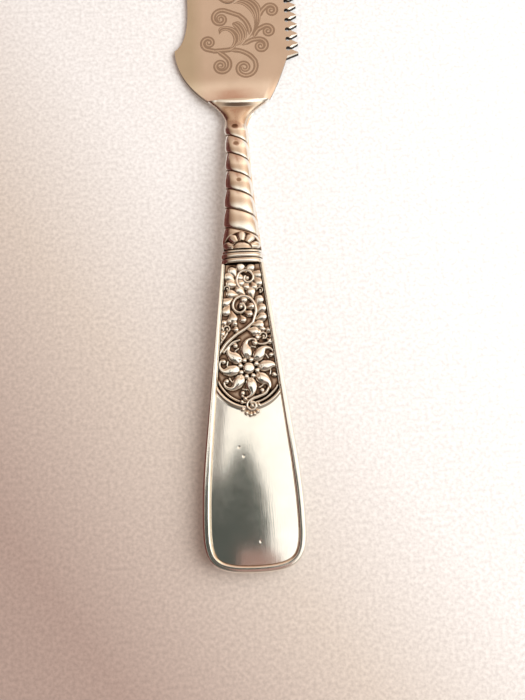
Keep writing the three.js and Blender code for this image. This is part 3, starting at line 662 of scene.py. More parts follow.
def add_sprigs(relief):
    for stalk in STALKS:
        relief.wire(curve(stalk), STALK_RADIUS, STALK_RISE)
    for centre, petals in FLOWERS:
        relief.leaves(centre, 0.0, FLOWER_LEAF, petals, FLOWER_RISE)
    for place, radius in CURLS:
        relief.curl(place, radius, CURL_STARTS[place[0] > 0], CURL_SWEEP)


# Curled end of the ornament, standing over the groove and the rim of the plain panel
def add_finial(relief):
    relief.wire(curve(FINIAL_STALK), FINIAL_STALK_RADIUS, FINIAL_STALK_RISE)
    relief.leaves(FINIAL, 0.0, FINIAL_LEAF, FINIAL_LOBES, FINIAL_RISE)
    relief.curl(FINIAL, FINIAL_RADIUS, FINIAL_START, FINIAL_SWEEP)


def plain_panel(x, s, reach_share):
    across = np.where(s < BUTT_SHOULDER, x / (BUTT_WIDTH / 2 - BORDER_WIDTH), reach_share)
    plain = PANEL_RISE + PANEL_CROWN * (1.0 - across ** 2)
    for x_pit, s_pit, radius in PANEL_PITS:
        plain = plain - PIT_DEPTH * smooth(radius, radius * PIT_FLOOR, np.hypot(x - x_pit, s - s_pit))
    return plain


# Height and darkening of the panel inside the border
def panel_heights(x, s, reach_share):
    plain = plain_panel(x, s, reach_share)
    relief = Relief(x, s)
    add_scrolls(relief)
    add_sprigs(relief)
    add_rosette(relief)
    edge_gap = np.abs(x) * (1.0 / np.maximum(np.abs(reach_share), 1e-6) - 1.0)
    relief.height *= smooth(0.0, EDGE_CLEARANCE, edge_gap)
    reach = np.hypot(x - ROSETTE[0], s - ROSETTE[1])
    down = unit((ROSETTE[1] - s) / np.maximum(reach, 1e-6))
    thread_gap = (reach - THREAD_REACH - THREAD_SAG * down ** 3) / THREAD_RADIUS
    thread = MOTIF_RISE * round_over(thread_gap ** 2) * (down > THREAD_END)
    ornament = GROUND_RISE + np.maximum(relief.height, thread)
    rim_gap = reach - RIM_REACH - RIM_SAG * down ** 2
    rim = RIM_RISE * np.exp(-((rim_gap - RIM_SHIFT) / RIM_WIDTH) ** 2) * (down > 0.0)
    outside = smooth(*RIM_WALL, rim_gap) * (s < ROSETTE[1])
    lip = smooth(1.0, PANEL_LIP, np.abs(reach_share)) * (s > FIELD_LOWEST)
    height = mix(mix(plain, ornament, lip), plain + rim, outside)
    finial = Relief(x, s)
    add_finial(finial)
    on_finial = finial.height > FINIAL_LEAST
    height = np.where(on_finial, np.maximum(height, plain - FINIAL_SINK + finial.height), height)
    # Painted shade along the panel's edge, at the foot of the border beside the ornament
    groove = GROOVE_SHADE * smooth(EDGE_CLEARANCE * 1.6, EDGE_CLEARANCE * 0.8, edge_gap)
    groove = groove * (s > ROSETTE[1] - GROOVE_LENGTH)
    low = 1.0 - smooth(*LOW_GROUND, relief.height)
    dark = np.maximum(np.maximum(relief.dark, groove) * low, relief.shade) * (1.0 - outside)
    return height, np.where(on_finial, finial.shade, np.maximum(finial.dark, dark))


def box_blur(values, span, axis):
    margins = [(0, 0), (0, 0)]
    margins[axis] = (span + 1, span)
    total = np.cumsum(np.pad(values, margins, mode="edge"), axis)
    width = 2 * span + 1
    ranks = np.arange(values.shape[axis])
    return (total.take(ranks + width, axis) - total.take(ranks, axis)) / width


PANEL_COLUMNS = 190
CAVITY_SPAN = 4
CAVITY_DEPTH = 0.6
GROUND_STAIN = 0.5
GROUND_STAIN_TOP = PANEL_RISE - 0.25


def front_shell():
    border = border_profile()
    ceiling = PANEL_RISE - SHELL_WALL
    inside = [(BORDER_WIDTH, ceiling), (SHELL_WALL, UPRIGHT_SHARE * ceiling), (SHELL_WALL, SOLDER_GAP / 2)]
    inset, height = np.array(inside + border).T
    share = np.linspace(1.0, -1.0, PANEL_COLUMNS)[1:-1]
    narrowing = border_share(EDGE[:, 1:]) * np.ones(len(border))
    shift = inset * np.hstack([np.ones((len(EDGE), len(inside))), narrowing])
    side_x = EDGE[:, :1] + INWARD[:, :1] * shift
    side_s = EDGE[:, 1:] + INWARD[:, 1:] * shift
    side_h = np.tile(height, (len(EDGE), 1))
    panel_x = side_x[:, -1:] * share
    panel_s = np.repeat(side_s[:, -1:], len(share), 1)
    panel_h, panel_dark = panel_heights(panel_x, panel_s, np.tile(share, (len(EDGE), 1)))
    x = np.hstack([side_x, panel_x, -side_x[:, ::-1]])
    s = np.hstack([side_s, panel_s, side_s[:, ::-1]])
    h = np.hstack([side_h, panel_h, side_h[:, ::-1]])
    upper = slice(len(inside) + 1, -len(inside) - 1)
    # Darker where the surface lies below its blurred surroundings: tarnish in the hollows and painted shade
    # at the feet of the motifs
    smoothed = h[:, upper]
    for axis in (0, 1, 0, 1):
        smoothed = box_blur(smoothed, CAVITY_SPAN, axis)
    recess = np.zeros_like(h)
    recess[:, upper] = unit((smoothed - h[:, upper]) / CAVITY_DEPTH)
    panel = slice(len(height), len(height) + len(share))
    low = GROUND_STAIN * (1.0 - smooth(GROUND_RISE, GROUND_STAIN_TOP, panel_h))
    recess[:, panel] = np.maximum(recess[:, panel] + low, panel_dark)
    add_grid("front_shell", x, s, h, handle_silver, "handle_front", unit(recess))


BACK_RIB_STEP = 3
BACK_COLUMNS = 9
BACK_EDGE_STEPS = 10


def back_shell():
    edge, inward = EDGE[::BACK_RIB_STEP], INWARD[::BACK_RIB_STEP]
    if (len(EDGE) - 1) % BACK_RIB_STEP:
        edge, inward = np.vstack([edge, EDGE[-1:]]), np.vstack([inward, INWARD[-1:]])
    wall = UPRIGHT_SHARE * BACK_DEPTH
    ceiling = BACK_DEPTH - SHELL_WALL
    chain = [(BACK_EDGE, ceiling, 1.0), (SHELL_WALL, UPRIGHT_SHARE * ceiling, 1.0),
             (SHELL_WALL, SOLDER_GAP / 2, 1.0), (0.0, SOLDER_GAP / 2, 1.0)]
    for turn in np.linspace(0.0, math.pi / 2, BACK_EDGE_STEPS):
        chain.append((BACK_EDGE * (1 - math.cos(turn)), mix(wall, BACK_DEPTH, math.sin(turn)), 1.0))
    for share in np.linspace(1.0, -1.0, BACK_COLUMNS)[1:-1]:
        chain.append((BACK_EDGE, BACK_DEPTH, share))
    mirrored = [(inset, depth, -1.0) for inset, depth, share in chain[::-1] if share == 1.0]
    inset, depth, share = np.array(chain + mirrored).T
    x = (edge[:, :1] + inward[:, :1] * inset) * share
    s = edge[:, 1:] + inward[:, 1:] * inset
    add_grid("back_shell", x, s, -depth, handle_silver, "handle_back")


# Round pieces
def oval(half_width, half_height, fullness, angle):
    def bend(value):
        return np.sign(value) * np.abs(value) ** (2.0 / fullness)
    return half_width * bend(np.cos(angle)), half_height * bend(np.sin(angle))


def bore(angle):
    half_width = TANG_WIDTH / 2 + SOLDER_GAP
    half_height = BLADE_THICKNESS / 2 + SOLDER_GAP
    scale = np.maximum(np.abs(np.cos(angle)) / half_width, np.abs(np.sin(angle)) / half_height)
    return np.cos(angle) / scale, np.sin(angle) / scale


STEM_SIDES = 168
STRAND_ROWS = 26
LIP_ROWS = 5
LIP_WIDTH = 0.06
RISE_ROWS = 8
RISE_START = 0.08
PALM_ROWS = 70
BORE_ROWS = 24
PEAK_LEFT, PEAK_RIGHT = 0.3, 0.52
PEAK_SPAN = (-0.9, 0.9)
STRAND_FALL_POWER = 1.8
DAISY_MIDDLE = 0.1
DAISY_FOOT = 79.2
DAISY_EYE = (2.2, 1.75)
DAISY_HEADINGS = [18.0, 54.0, 90.0, 126.0, 162.0]
DAISY_RING = (2.15, 4.35)
DAISY_HALF_WIDTHS = (0.62, 1.22)
DAISY_GROUND = 0.25
DAISY_RISE = 0.5
DAISY_FADE = 0.2
DAISY_LINE = (0.4, 0.05)
HOLLOW_STATION = 119.4
HOLLOW_DEPTH = 0.2
HOLLOW_REACH = 5.4
HOLLOW_TO_CREST, HOLLOW_TO_NECK = 0.9, 1.4
CREST_MIDDLE = 0.7
CREST_REACH = 5.6
CREST_STEP = 0.52
CREST_BOW = 0.5
CREST_LEAN = 0.03
CREST_TIP = 0.12
CREST_TOP = 0.6
CREST_FRONT = 0.9
CREST_SHADOW_START, CREST_SHADOW_FULL, CREST_SHADOW_END = 2.6, 0.5, 0.03
STEM_PITS = [(-0.27, 113.4, 0.95), (-0.18, 108.3, 0.8), (0.08, 97.6, 0.7)]
STEM_PIT_DEPTH = 0.06
STEM_PIT_FLOOR = 0.55
# How dark the stem is: painted shade at a lip's edge, the dark ground between the petals, pits, painted
# shadow before the crest and painted shade on the palm
LIP_SHADE, DAISY_STAIN, STEM_PIT_STAIN, PAINTED_CREST_SHADOW, PALM_SHADE = 0.6, 0.9, 0.5, 0.15, 0.28
FOOT_SPAN, LIP_SPAN = 0.05, 0.02
PALM_SHADE_LENGTH = 3.0


# Half daisy at the foot of the stem: its height, the patch that it fills and the dark lines between petals
def half_daisy(x, s):
    dx, ds = x - DAISY_MIDDLE, np.maximum(s - DAISY_FOOT, 0.0)
    reach, angle = np.hypot(dx, ds), np.degrees(np.arctan2(ds, dx))
    inner, outer = DAISY_RING
    share = (reach - inner) / (outer - inner)
    half_width = mix(*DAISY_HALF_WIDTHS, unit(share)) * round_over(share ** 6)
    form = round_over((dx / DAISY_EYE[0]) ** 2 + ((s - DAISY_FOOT) / DAISY_EYE[1]) ** 2)
    for heading in DAISY_HEADINGS:
        aside = np.radians(np.abs(angle - heading)) * reach / np.maximum(half_width, 0.01)
        form = np.maximum(form, round_over(aside ** 2) * (share > 0.0))
    patch = smooth(outer + DAISY_FADE, outer, reach)
    return DAISY_RISE * form, patch, patch * smooth(*DAISY_LINE, form)


# Strand height as a share, counted from its lip: a full round lip, then a long fall
def strand_share(turn, in_twist, peak):
    rise = round_over((1.0 - unit(turn / peak)) ** 2)
    share = unit((turn - peak) / (1.0 - peak))
    fall = np.where(in_twist, 1.0 - share ** STRAND_FALL_POWER, 1.0 - smooth(0.0, 1.0, share))
    return np.where(turn < peak, rise, fall)


# How far a strand has climbed round the stem: evenly across the width, front and back
def wind_share(angle):
    climb = (1.0 - np.cos(angle)) / 4.0
    return np.where(angle <= math.pi, climb, 1.0 - climb)


# Half width, half height and fullness of the plain stem: a taper to the neck, then the spread palm
def stem_size(s, angle):
    to_root = unit((LAST_LIP - s) / (LAST_LIP - STEM_START)) ** STEM_TAPER_POWER
    to_crest = unit((s - FLARE_START) / PALM_FLARE_LENGTH)
    spread = to_crest ** PALM_FLARE_POWER
    on_left = np.cos(angle) < 0.0
    palm = np.where(on_left, PALM_LEFT, PALM_RIGHT)
    swell = np.where(on_left, PALM_LEFT_SWELL, PALM_RIGHT_SWELL)
    reach = mix(STEM_NECK_WIDTH, STEM_ROOT_WIDTH, to_root) / 2
    reach = reach + (palm - STEM_NECK_WIDTH / 2) * spread * (1.0 + swell * (1.0 - to_crest))
    height = mix(STEM_NECK_HEIGHT, STEM_ROOT_HEIGHT, to_root)
    height = height + (PALM_HEIGHT - STEM_NECK_HEIGHT) * smooth(0.0, 1.0, to_crest)
    return reach, height / 2, mix(STEM_FULLNESS, PALM_FULLNESS, spread)


# Crest across the end of the palm: its height, the painted shadow in front of it and whether a place lies
# before it
def crest_lip(x, s):
    lens = unit(1.0 - ((x - CREST_MIDDLE) / CREST_REACH) ** 2)
    top_start = CREST - CREST_TOP - CREST_BOW * lens - CREST_LEAN * x
    front = unit((s - top_start) / CREST_FRONT + 1.0)
    tip = unit((s - top_start) / CREST_TOP)
    shadow = smooth(top_start - CREST_SHADOW_START, top_start - CREST_SHADOW_FULL, s) * lens ** 0.5
    shadow = shadow * (s < top_start - CREST_SHADOW_END)
    return CREST_STEP * front * lens + CREST_TIP * tip, shadow, s < top_start


def stem_shape(s, angle, turn, in_twist):
    reach, half_height, fullness = stem_size(s, angle)
    plain_x, _ = oval(reach, half_height, fullness, angle)
    on_top = np.sin(angle) > 0.0
    peak = mix(PEAK_LEFT, PEAK_RIGHT, smooth(*PEAK_SPAN, np.cos(angle)))
    strands = STRAND_DEPTH * strand_share(turn, in_twist, peak)
    flower, patch, lines = half_daisy(plain_x, s)
    patch = patch * on_top
    relief = mix(strands, DAISY_GROUND + flower, patch)
    steep = np.where(s > HOLLOW_STATION, HOLLOW_TO_CREST, HOLLOW_TO_NECK)
    hollow = HOLLOW_DEPTH * np.exp(-((s - HOLLOW_STATION) / steep) ** 2)
    hollow = hollow * unit(1.0 - (plain_x / HOLLOW_REACH) ** 2)
    pits = np.zeros(s.shape)
    for x_pit, s_pit, radius in STEM_PITS:
        pits = pits + smooth(1.0, STEM_PIT_FLOOR, np.hypot(plain_x - x_pit, s - s_pit) / radius)
    lip, shadow, before_crest = crest_lip(plain_x, s)
    sunk = (hollow + STEM_PIT_DEPTH * pits - lip) * on_top
    x, z = oval(reach + relief, half_height + relief - sunk, fullness, angle)
    # Painted shade in the grooves between strands, at the foot of each fall and at each lip
    foot = in_twist * np.exp(-((turn - 1.0) / FOOT_SPAN) ** 2)
    groove_shade = foot + LIP_SHADE * np.exp(-(turn / LIP_SPAN) ** 2)
    # Painted shade over the palm, from the start of its flare up to the crest
    palm = PALM_SHADE * smooth(FLARE_START, FLARE_START + PALM_SHADE_LENGTH, s) * before_crest
    upper = DAISY_STAIN * lines + STEM_PIT_STAIN * pits + PAINTED_CREST_SHADOW * shadow + palm
    return x, z, unit(groove_shade * (1.0 - patch) + upper * on_top)


def stem_twist():
    angle = around(STEM_SIDES)
    wind = wind_share(angle)
    lip_turns = math.ceil((LAST_LIP - STEM_START) / STRAND_PITCH) + 1
    spread = np.concatenate([np.linspace(0.0, LIP_WIDTH, LIP_ROWS),
                             np.linspace(RISE_START, PEAK_LEFT, RISE_ROWS),
                             np.linspace(PEAK_LEFT, 1.0, STRAND_ROWS)[1:-1]])
    turns = np.concatenate([k - lip_turns + spread for k in range(lip_turns + 1)])
    wound = LAST_LIP + STRAND_PITCH * (turns[:, None] + wind)
    neck_start = LAST_LIP + STRAND_PITCH
    palm = np.repeat(np.linspace(neck_start, CREST, PALM_ROWS)[:, None], STEM_SIDES, 1)
    s = np.vstack([np.clip(wound, STEM_START, neck_start), palm])
    turn = (s - LAST_LIP) / STRAND_PITCH - wind
    in_twist = turn < -1e-6
    share = np.where(in_twist, turn % 1.0, turn)
    x, z, darkening = stem_shape(s, np.tile(angle, (len(s), 1)), share, in_twist)
    bore_x, bore_z = bore(angle)
    inner_s = np.repeat(np.linspace(CREST, STEM_START, BORE_ROWS)[:, None], STEM_SIDES, 1)
    x = np.vstack([x, np.tile(bore_x, (BORE_ROWS, 1))])
    z = np.vstack([z, np.tile(bore_z, (BORE_ROWS, 1))])
    s = np.vstack([s, inner_s])
    darkening = np.vstack([darkening, np.zeros(inner_s.shape)])
    add_grid("stem_twist", x, s, z, stem_silver, "stem", darkening, is_ring=True)


RING_SIDES = 160
FLANGE_ROWS = 9
RING_ROWS = 13
FLANGE_FOOT, RING_FOOT = 0.55, 0.5
FLANGE_POWER, RING_POWER = 1.0, 0.7


# A half-round bead as [station, step out], its feet standing at a share of its height
def half_round(start, width, height, foot, power, rows):
    return [(start + width * (1 - math.cos(turn)) / 2, height * mix(foot, 1.0, math.sin(turn) ** power))
            for turn in np.linspace(0.0, math.pi, rows)]


# A ring of rows, each [station, step out from the collar's core], or the bore where there is no step
def turned_piece(name, profile, replaced, darkening):
    angle = around(RING_SIDES)
    rows = []
    for station, step in profile:
        if step is None:
            x, z = bore(angle)
        else:
            x, z = oval(COLLAR_CORE_WIDTH / 2 + step, COLLAR_CORE_HEIGHT / 2 + step, COLLAR_FULLNESS, angle)
        rows.append((x, np.full(RING_SIDES, station), z))
    x, s, z = np.array(rows).swapaxes(0, 1)
    recess = np.repeat(np.array(darkening)[:, None], RING_SIDES, 1)
    add_grid(name, x, s, z, stem_silver, replaced, recess, is_ring=True)


def collar_pieces():
    flange = half_round(FLANGE_START, FLANGE_LENGTH, FLANGE_STEP, FLANGE_FOOT, FLANGE_POWER, FLANGE_ROWS)
    sleeve = [(COLLAR_START, 0.0), (FLANGE_START, 0.0), *flange, (COLLAR_END, None), (COLLAR_START, None)]
    darkening = [1.0, 1.0, 0.5] + [0.0] * (FLANGE_ROWS - 2) + [0.5, 1.0, 1.0]
    turned_piece("collar_sleeve", sleeve, "collar", darkening)
    for side, start in [("rear", REAR_RING_START), ("front", FRONT_RING_START)]:
        wire = half_round(start, RING_WIDTH, RING_WIRE, RING_FOOT, RING_POWER, RING_ROWS)
        ring = [(start, SOLDER_GAP), *wire, (start + RING_WIDTH, SOLDER_GAP)]
        darkening = [1.0, 0.9, 0.5] + [0.0] * (RING_ROWS - 4) + [0.5, 0.9, 1.0]
        turned_piece(f"ring_{side}", ring, f"collar_ring_{side}", darkening)


# Blade
TOOTH_TIP = 0.3
TOOTH_FACET = 0.5
POINT_FACET = TOOTH_FACET * 0.4
FACET_DROP = 0.15
WALL_SHADE = 0.55
GULLET_SHADE = 0.97
WALL_SLOPE = 0.4
EDGE_BEVEL = 0.2
RIM_ANGLE = math.radians(45)
RIM_LEVEL = 0.3
RIM_MARGIN = 0.01
GULLET_MARGIN = 0.3
ROLL_WIDTH = 1.8
ROLL_DROP = 0.55
ROLL_POWER = 1.6
ROLL_END = CREST + 8.5
ROLL_STEPS = 7
TANG_CUT = 3.0
HEEL_CUT = 0.25
PLATE_CUTS = np.array([0.0, 0.3, 0.9, 1.6])
TEETH = int(TOOTHED_LENGTH / TOOTH_PITCH)
HEEL_STEPS = 24
GULLET_STEPS = 13
TIP_STEPS = 28
NOTCH_STEPS = 16
TOOTH_CORNERS = GULLET_STEPS + 4
SPUR_STATION = CREST + SPUR_FROM_CREST
TOOTH_START = CREST + FIRST_TOOTH_FROM_CREST
GULLET_REACH = TOOTH_REACH - TOOTH_DEPTH
# Way out across the right rim of the heel
ROLL_OUT = Vector((TOOTH_START - CREST, PALM_RIGHT - GULLET_REACH)).normalized()


def blade_outline():
    shares = np.linspace(0.0, 1.0, HEEL_STEPS)
    bulge = (PALM_RIGHT + GULLET_REACH) / 2 + HEEL_BULGE
    right_x = bezier([(PALM_RIGHT, 0), (bulge, 0), (GULLET_REACH, 0)], shares)[:, 0]
    heel_right = np.stack([right_x, mix(CREST, TOOTH_START, shares)], 1)
    left_x = -bezier([(PALM_LEFT, 0), (SPUR_REACH, 0), (SPUR_REACH, 0)], shares)[:, 0]
    heel_left = np.stack([left_x, mix(CREST, SPUR_STATION, shares)], 1)
    heel_right[0, 1] = heel_left[0, 1] = HEEL_START
    edge = []
    throat_reach = TOOTH_REACH - TOOTH_POINT_LENGTH
    opening = math.degrees(math.asin(THROAT_WIDTH / 2 / GULLET_RADIUS))
    for tooth in range(TEETH):
        middle = TOOTH_START + (tooth + 0.5) * TOOTH_PITCH
        gullet = TOOTH_START + (tooth + 1) * TOOTH_PITCH
        edge += [(TOOTH_REACH, middle - TOOTH_TIP / 2), (TOOTH_REACH, middle + TOOTH_TIP / 2)]
        edge.append((throat_reach, gullet - THROAT_WIDTH / 2))
        for turn in np.linspace(-opening, opening - 360.0, GULLET_STEPS):
            edge.append(polar((GULLET_REACH + GULLET_RADIUS, gullet), GULLET_RADIUS, turn))
        edge.append((throat_reach, gullet + THROAT_WIDTH / 2))
    last_x, last_s = edge[-1]
    sweep = TIP - TIP_SWEEP
    steps = np.linspace(0.0, 1.0, TIP_STEPS)[1:]
    front = bezier([(last_x, last_s), (last_x, (last_s + TIP) / 2), (TIP_OFFSET + TIP_FULLNESS, TIP),
                    (TIP_OFFSET, TIP)], steps)
    back = bezier([(TIP_OFFSET, TIP), (TIP_OFFSET - 2 * TIP_FULLNESS, TIP), (-BACK_REACH, (sweep + TIP) / 2),
                   (-BACK_REACH, sweep)], steps)
    notch = bezier([(-BACK_REACH, SPUR_STATION + SPUR_NOTCH_LENGTH), (-BACK_REACH, SPUR_STATION + SPUR_HOOK),
                    (-SPUR_REACH, SPUR_STATION)], np.linspace(0.0, 1.0, NOTCH_STEPS))
    half_tang = TANG_WIDTH / 2
    tang = [(-half_tang, HEEL_START), (-half_tang, TANG_END), (half_tang, TANG_END), (half_tang, HEEL_START)]
    return np.vstack([heel_right, edge, front, back, notch, heel_left[::-1][1:], tang])


# A facet ground along the lower flank of one tooth, from its root past its point
def grind_facet(work, before, root, point, after):
    along = (point.co - root.co).normalized()
    inward = Vector((-along.y, along.x, 0.0))
    inner_root = root.co + inward * TOOTH_FACET + along * TOOTH_FACET
    inner_point = point.co + inward * POINT_FACET - along * TOOTH_FACET
    upper = next(face for face in root.link_faces if face.normal.z > 0.9)
    bmesh.utils.face_split(upper, before, after, coords=(inner_root, inner_point))
    for corner, place in ((root, inner_root), (point, inner_point)):
        facet = next(face for face in corner.link_faces if face.normal.z > 0.5)
        inner = min(facet.verts, key=lambda vert: (vert.co - place).length)
        bmesh.utils.face_split(facet, corner, inner)
    root.co.z -= FACET_DROP
    point.co.z -= FACET_DROP


# How far the upper side falls where the right rim of the heel rolls over
def roll_fall(x, s):
    reach = (x - PALM_RIGHT) * ROLL_OUT.x + (s - CREST) * ROLL_OUT.y + ROLL_WIDTH
    return ROLL_DROP * max(0.0, reach / ROLL_WIDTH) ** ROLL_POWER * float(smooth(ROLL_END, HEEL_START, s))


# The blade's plan as one flat sheet, cut where it will bend, and the corners of its outline
def blade_plan(work):
    corners = [work.verts.new((x, s, 0.0)) for x, s in blade_outline()]
    work.faces.new(corners)
    tang_cuts = np.arange(TANG_END + TANG_CUT, HEEL_START, TANG_CUT)
    heel_cuts = np.arange(HEEL_START, PLATE_START, HEEL_CUT)
    for station in np.concatenate([tang_cuts, heel_cuts, PLATE_START + PLATE_CUTS]):
        geometry = work.verts[:] + work.edges[:] + work.faces[:]
        bmesh.ops.bisect_plane(work, geom=geometry, plane_co=(0.0, station, 0.0), plane_no=(0.0, 1.0, 0.0))
    for inset in np.linspace(ROLL_WIDTH, 0.0, ROLL_STEPS, endpoint=False):
        heel = [face for face in work.faces if HEEL_START < face.calc_center_median().y < PLATE_START]
        geometry = dict.fromkeys(item for face in heel for item in (face, *face.edges, *face.verts))
        start = (PALM_RIGHT - inset * ROLL_OUT.x, CREST - inset * ROLL_OUT.y, 0.0)
        bmesh.ops.bisect_plane(work, geom=list(geometry), plane_co=start, plane_no=(*ROLL_OUT, 0.0))
    return corners


def in_teeth(place, aside, below=0.0):
    return place.x > GULLET_REACH - aside and place.y > TOOTH_START - below


# Edges that are rubbed round: level ones between two sides of the sheet, away from the teeth
def is_rim(edge):
    if len(edge.link_faces) != 2 or edge.calc_face_angle() <= RIM_ANGLE:
        return False
    first, second = (vert.co for vert in edge.verts)
    toothed = all(in_teeth(place, RIM_MARGIN, RIM_MARGIN) for place in (first, second))
    return abs(first.z - second.z) < RIM_LEVEL and not toothed


# Painted shade on the side walls of the sheet, darkest in the gullets between the teeth
def darkening_walls(work):
    layer = work.loops.layers.float.new("recess")
    for face in work.faces:
        if abs(face.normal.z) < WALL_SLOPE:
            toothed = in_teeth(face.calc_center_median(), GULLET_MARGIN)
            for corner in face.loops:
                corner[layer] = GULLET_SHADE if toothed else WALL_SHADE


def blade_sheet():
    work = bmesh.new()
    corners = blade_plan(work)
    raised = bmesh.ops.extrude_face_region(work, geom=list(work.faces))
    for vert in [item for item in raised["geom"] if isinstance(item, bmesh.types.BMVert)]:
        vert.co.z = 1.0
    bmesh.ops.recalc_face_normals(work, faces=work.faces)
    for vert in work.verts:
        side = 0.5 if vert.co.z > 0.5 else -0.5
        on_rim = side > 0.0 and vert.co.x > TANG_WIDTH
        fall = roll_fall(vert.co.x, vert.co.y) if on_rim else 0.0
        vert.co.z = float(midline(vert.co.y)) + side * BLADE_THICKNESS - fall
    # Upper corner over each corner of the outline
    upper = [next(edge.other_vert(vert) for edge in vert.link_edges
                  if (edge.other_vert(vert).co - vert.co).to_2d().length < WELD) for vert in corners]
    rims = [edge for edge in work.edges if is_rim(edge)]
    work.normal_update()
    for tooth in range(TEETH):
        first = HEEL_STEPS + tooth * TOOTH_CORNERS
        grind_facet(work, *upper[first - 2:first + 2])
    bmesh.ops.bevel(work, geom=rims, offset=EDGE_BEVEL, segments=2, profile=0.5, affect="EDGES",
                    clamp_overlap=True)
    work.normal_update()
    darkening_walls(work)
    for vert in work.verts:
        vert.co = [(value + shift) * MM for value, shift in zip(vert.co, ORIGIN)]
    mesh = bpy.data.meshes.new("blade_sheet")
    work.to_mesh(mesh)
    work.free()
    finish_piece("blade_sheet", mesh, blade_silver, "blade", BLADE_SHARP_ANGLE)


# Engraving: each tendril leads into a spiral [lead, centre, start, sweep, radius]
TENDRILS = [
    ([(0.9, 137.9), (-0.6, 137.05), (-2.7, 136.85), (-5.2, 136.75)], (-6.35, 139.2), -112, -520, 1.95),
    ([(-4.4, 136.85), (-2.7, 135.65), (-1.15, 134.1)], (-3.3, 132.45), 28, -560, 2.55),
    ([(-1.3, 136.8), (1.7, 136.65), (4.4, 135.3), (6.1, 133.3)], (3.0, 131.65), 18, -600, 3.25),
    ([(2.7, 138.1), (4.6, 139.25), (6.0, 139.75)], (7.6, 137.75), 105, -520, 2.1),
    ([(5.8, 140.2), (6.4, 141.6), (7.3, 142.8)], (9.75, 142.0), 125, -480, 1.75),
    ([(7.7, 146.1), (8.0, 147.3), (8.7, 148.4)], (10.95, 148.0), 130, -480, 1.8),
    ([(4.7, 141.2), (4.75, 143.0), (3.75, 145.3), (1.95, 147.2)], (-2.85, 146.1), 60, 560, 2.75),
]
TENDRIL_END = 0.5
TENDRIL_STEPS = 72
# Leaves of the engraving: an outer and an inner edge, and the number of lines between them
ENGRAVED_LEAVES = [
    ([(0.9, 137.9), (2.3, 139.6), (2.2, 141.7), (0.4, 143.5), (-2.1, 143.9), (-3.5, 143.2), (-3.4, 141.5)],
     [(-1.2, 137.2), (-0.3, 138.0), (0.35, 139.7), (-0.1, 141.5), (-1.4, 142.6), (-2.6, 142.4),
      (-3.2, 141.7)], 2),
    ([(2.3, 138.3), (3.9, 140.3), (4.1, 142.0), (3.3, 144.0), (1.9, 145.2), (0.45, 144.9)],
     [(1.1, 138.0), (1.9, 139.6), (1.9, 141.2), (1.2, 142.8), (0.4, 143.9), (0.2, 144.6)], 3),
    ([(2.0, 137.7), (4.2, 139.8), (6.1, 141.7), (7.6, 144.4), (8.2, 147.4), (7.9, 149.8), (6.2, 151.6),
      (4.0, 152.2)],
     [(2.6, 138.4), (4.6, 140.3), (5.9, 142.6), (6.2, 145.2), (5.4, 147.7), (3.6, 149.7), (1.8, 150.5),
      (0.7, 150.4)], 4),
]
BAND_HALF_WIDTH = 0.72
LINE_HALF_WIDTH = 0.16
LEAF_LINE_HALF_WIDTH = 0.13
END_ROWS = 5.0
END_SHARE = 0.3
BAND_END_SHARE = 0.6
LEAF_LINE_ROOM = 0.4
BAND_HEIGHT = 0.006
LAP_RISE = 0.005
STRIP_DEPTH = 0.05
LINE_HEIGHT = 0.032
LAYER_STEP = 0.0002
REPEAT_STEP = 22.0
REPEATS = 4
MIRROR_AXIS = 1.4


# A thin closed strip between two plan paths of equal length, proud of the blade by its height
def strip(left, right, height):
    def at(path, lift):
        rise = LAP_RISE * np.linspace(0.0, 1.0, len(path))[:, None]
        return np.hstack([path, midline(path[:, 1:]) + BLADE_THICKNESS / 2 + lift + rise])
    return np.stack([at(left, -STRIP_DEPTH), at(left, height), at(right, height), at(right, -STRIP_DEPTH)], 1)


# A strip along one path, narrow at both ends
def ribbon(path, half_width, height):
    along = np.gradient(path, axis=0)
    along /= np.linalg.norm(along, axis=1, keepdims=True)
    rank = np.arange(len(path))
    half = half_width * np.clip(np.minimum(rank, rank[::-1]) / END_ROWS, END_SHARE, 1.0)
    half = half * mix(1.0, BAND_END_SHARE, (rank / rank[-1]) ** 3)
    across = np.stack([-along[:, 1], along[:, 0]], 1) * half[:, None]
    return strip(path + across, path - across, height)


def engraving_strips():
    bands, lines = [], []
    for lead, *turns in TENDRILS:
        path = np.vstack([curve(lead)[:-1], spiral(*turns, TENDRIL_END, TENDRIL_STEPS)])
        bands.append(ribbon(path, BAND_HALF_WIDTH, BAND_HEIGHT + LAYER_STEP * len(bands)))
        lines.append(ribbon(path, LINE_HALF_WIDTH, LINE_HEIGHT))
    for outer, inner, count in ENGRAVED_LEAVES:
        outer, inner = curve(outer), curve(inner)
        bands.append(strip(outer, inner, BAND_HEIGHT + LAYER_STEP * len(bands)))
        wide = np.linalg.norm(outer - inner, axis=1) / count > LEAF_LINE_ROOM
        for share in (np.arange(count) + 0.5) / count:
            lines.append(ribbon(mix(outer, inner, share)[wide], LEAF_LINE_HALF_WIDTH, LINE_HEIGHT))
    return bands, lines


# The strips repeated up the blade, every second time mirrored
def strips_piece(name, strips, material):
    points, faces = [], []
    first = 0
    for repeat in range(REPEATS):
        for rings in strips:
            placed = rings + np.array([0.0, REPEAT_STEP * repeat, 0.0])
            if repeat % 2:
                placed[:, :, 0] = 2 * MIRROR_AXIS - placed[:, :, 0]
            count = len(rings)
            points.append(placed.reshape(-1, 3))
            faces += [[first + i for i in face] for face in grid_faces(count, 4)]
            faces += [[first + i for i in (0, 1, 2, 3)], [first + 4 * count - 4 + i for i in (3, 2, 1, 0)]]
            first += 4 * count
    add_piece(name, np.vstack(points), faces, material)


def blade_engraving():
    bands, lines = engraving_strips()
    strips_piece("blade_engraving", bands, engraved_silver)
    strips_piece("blade_engraving_lines", lines, line_silver)


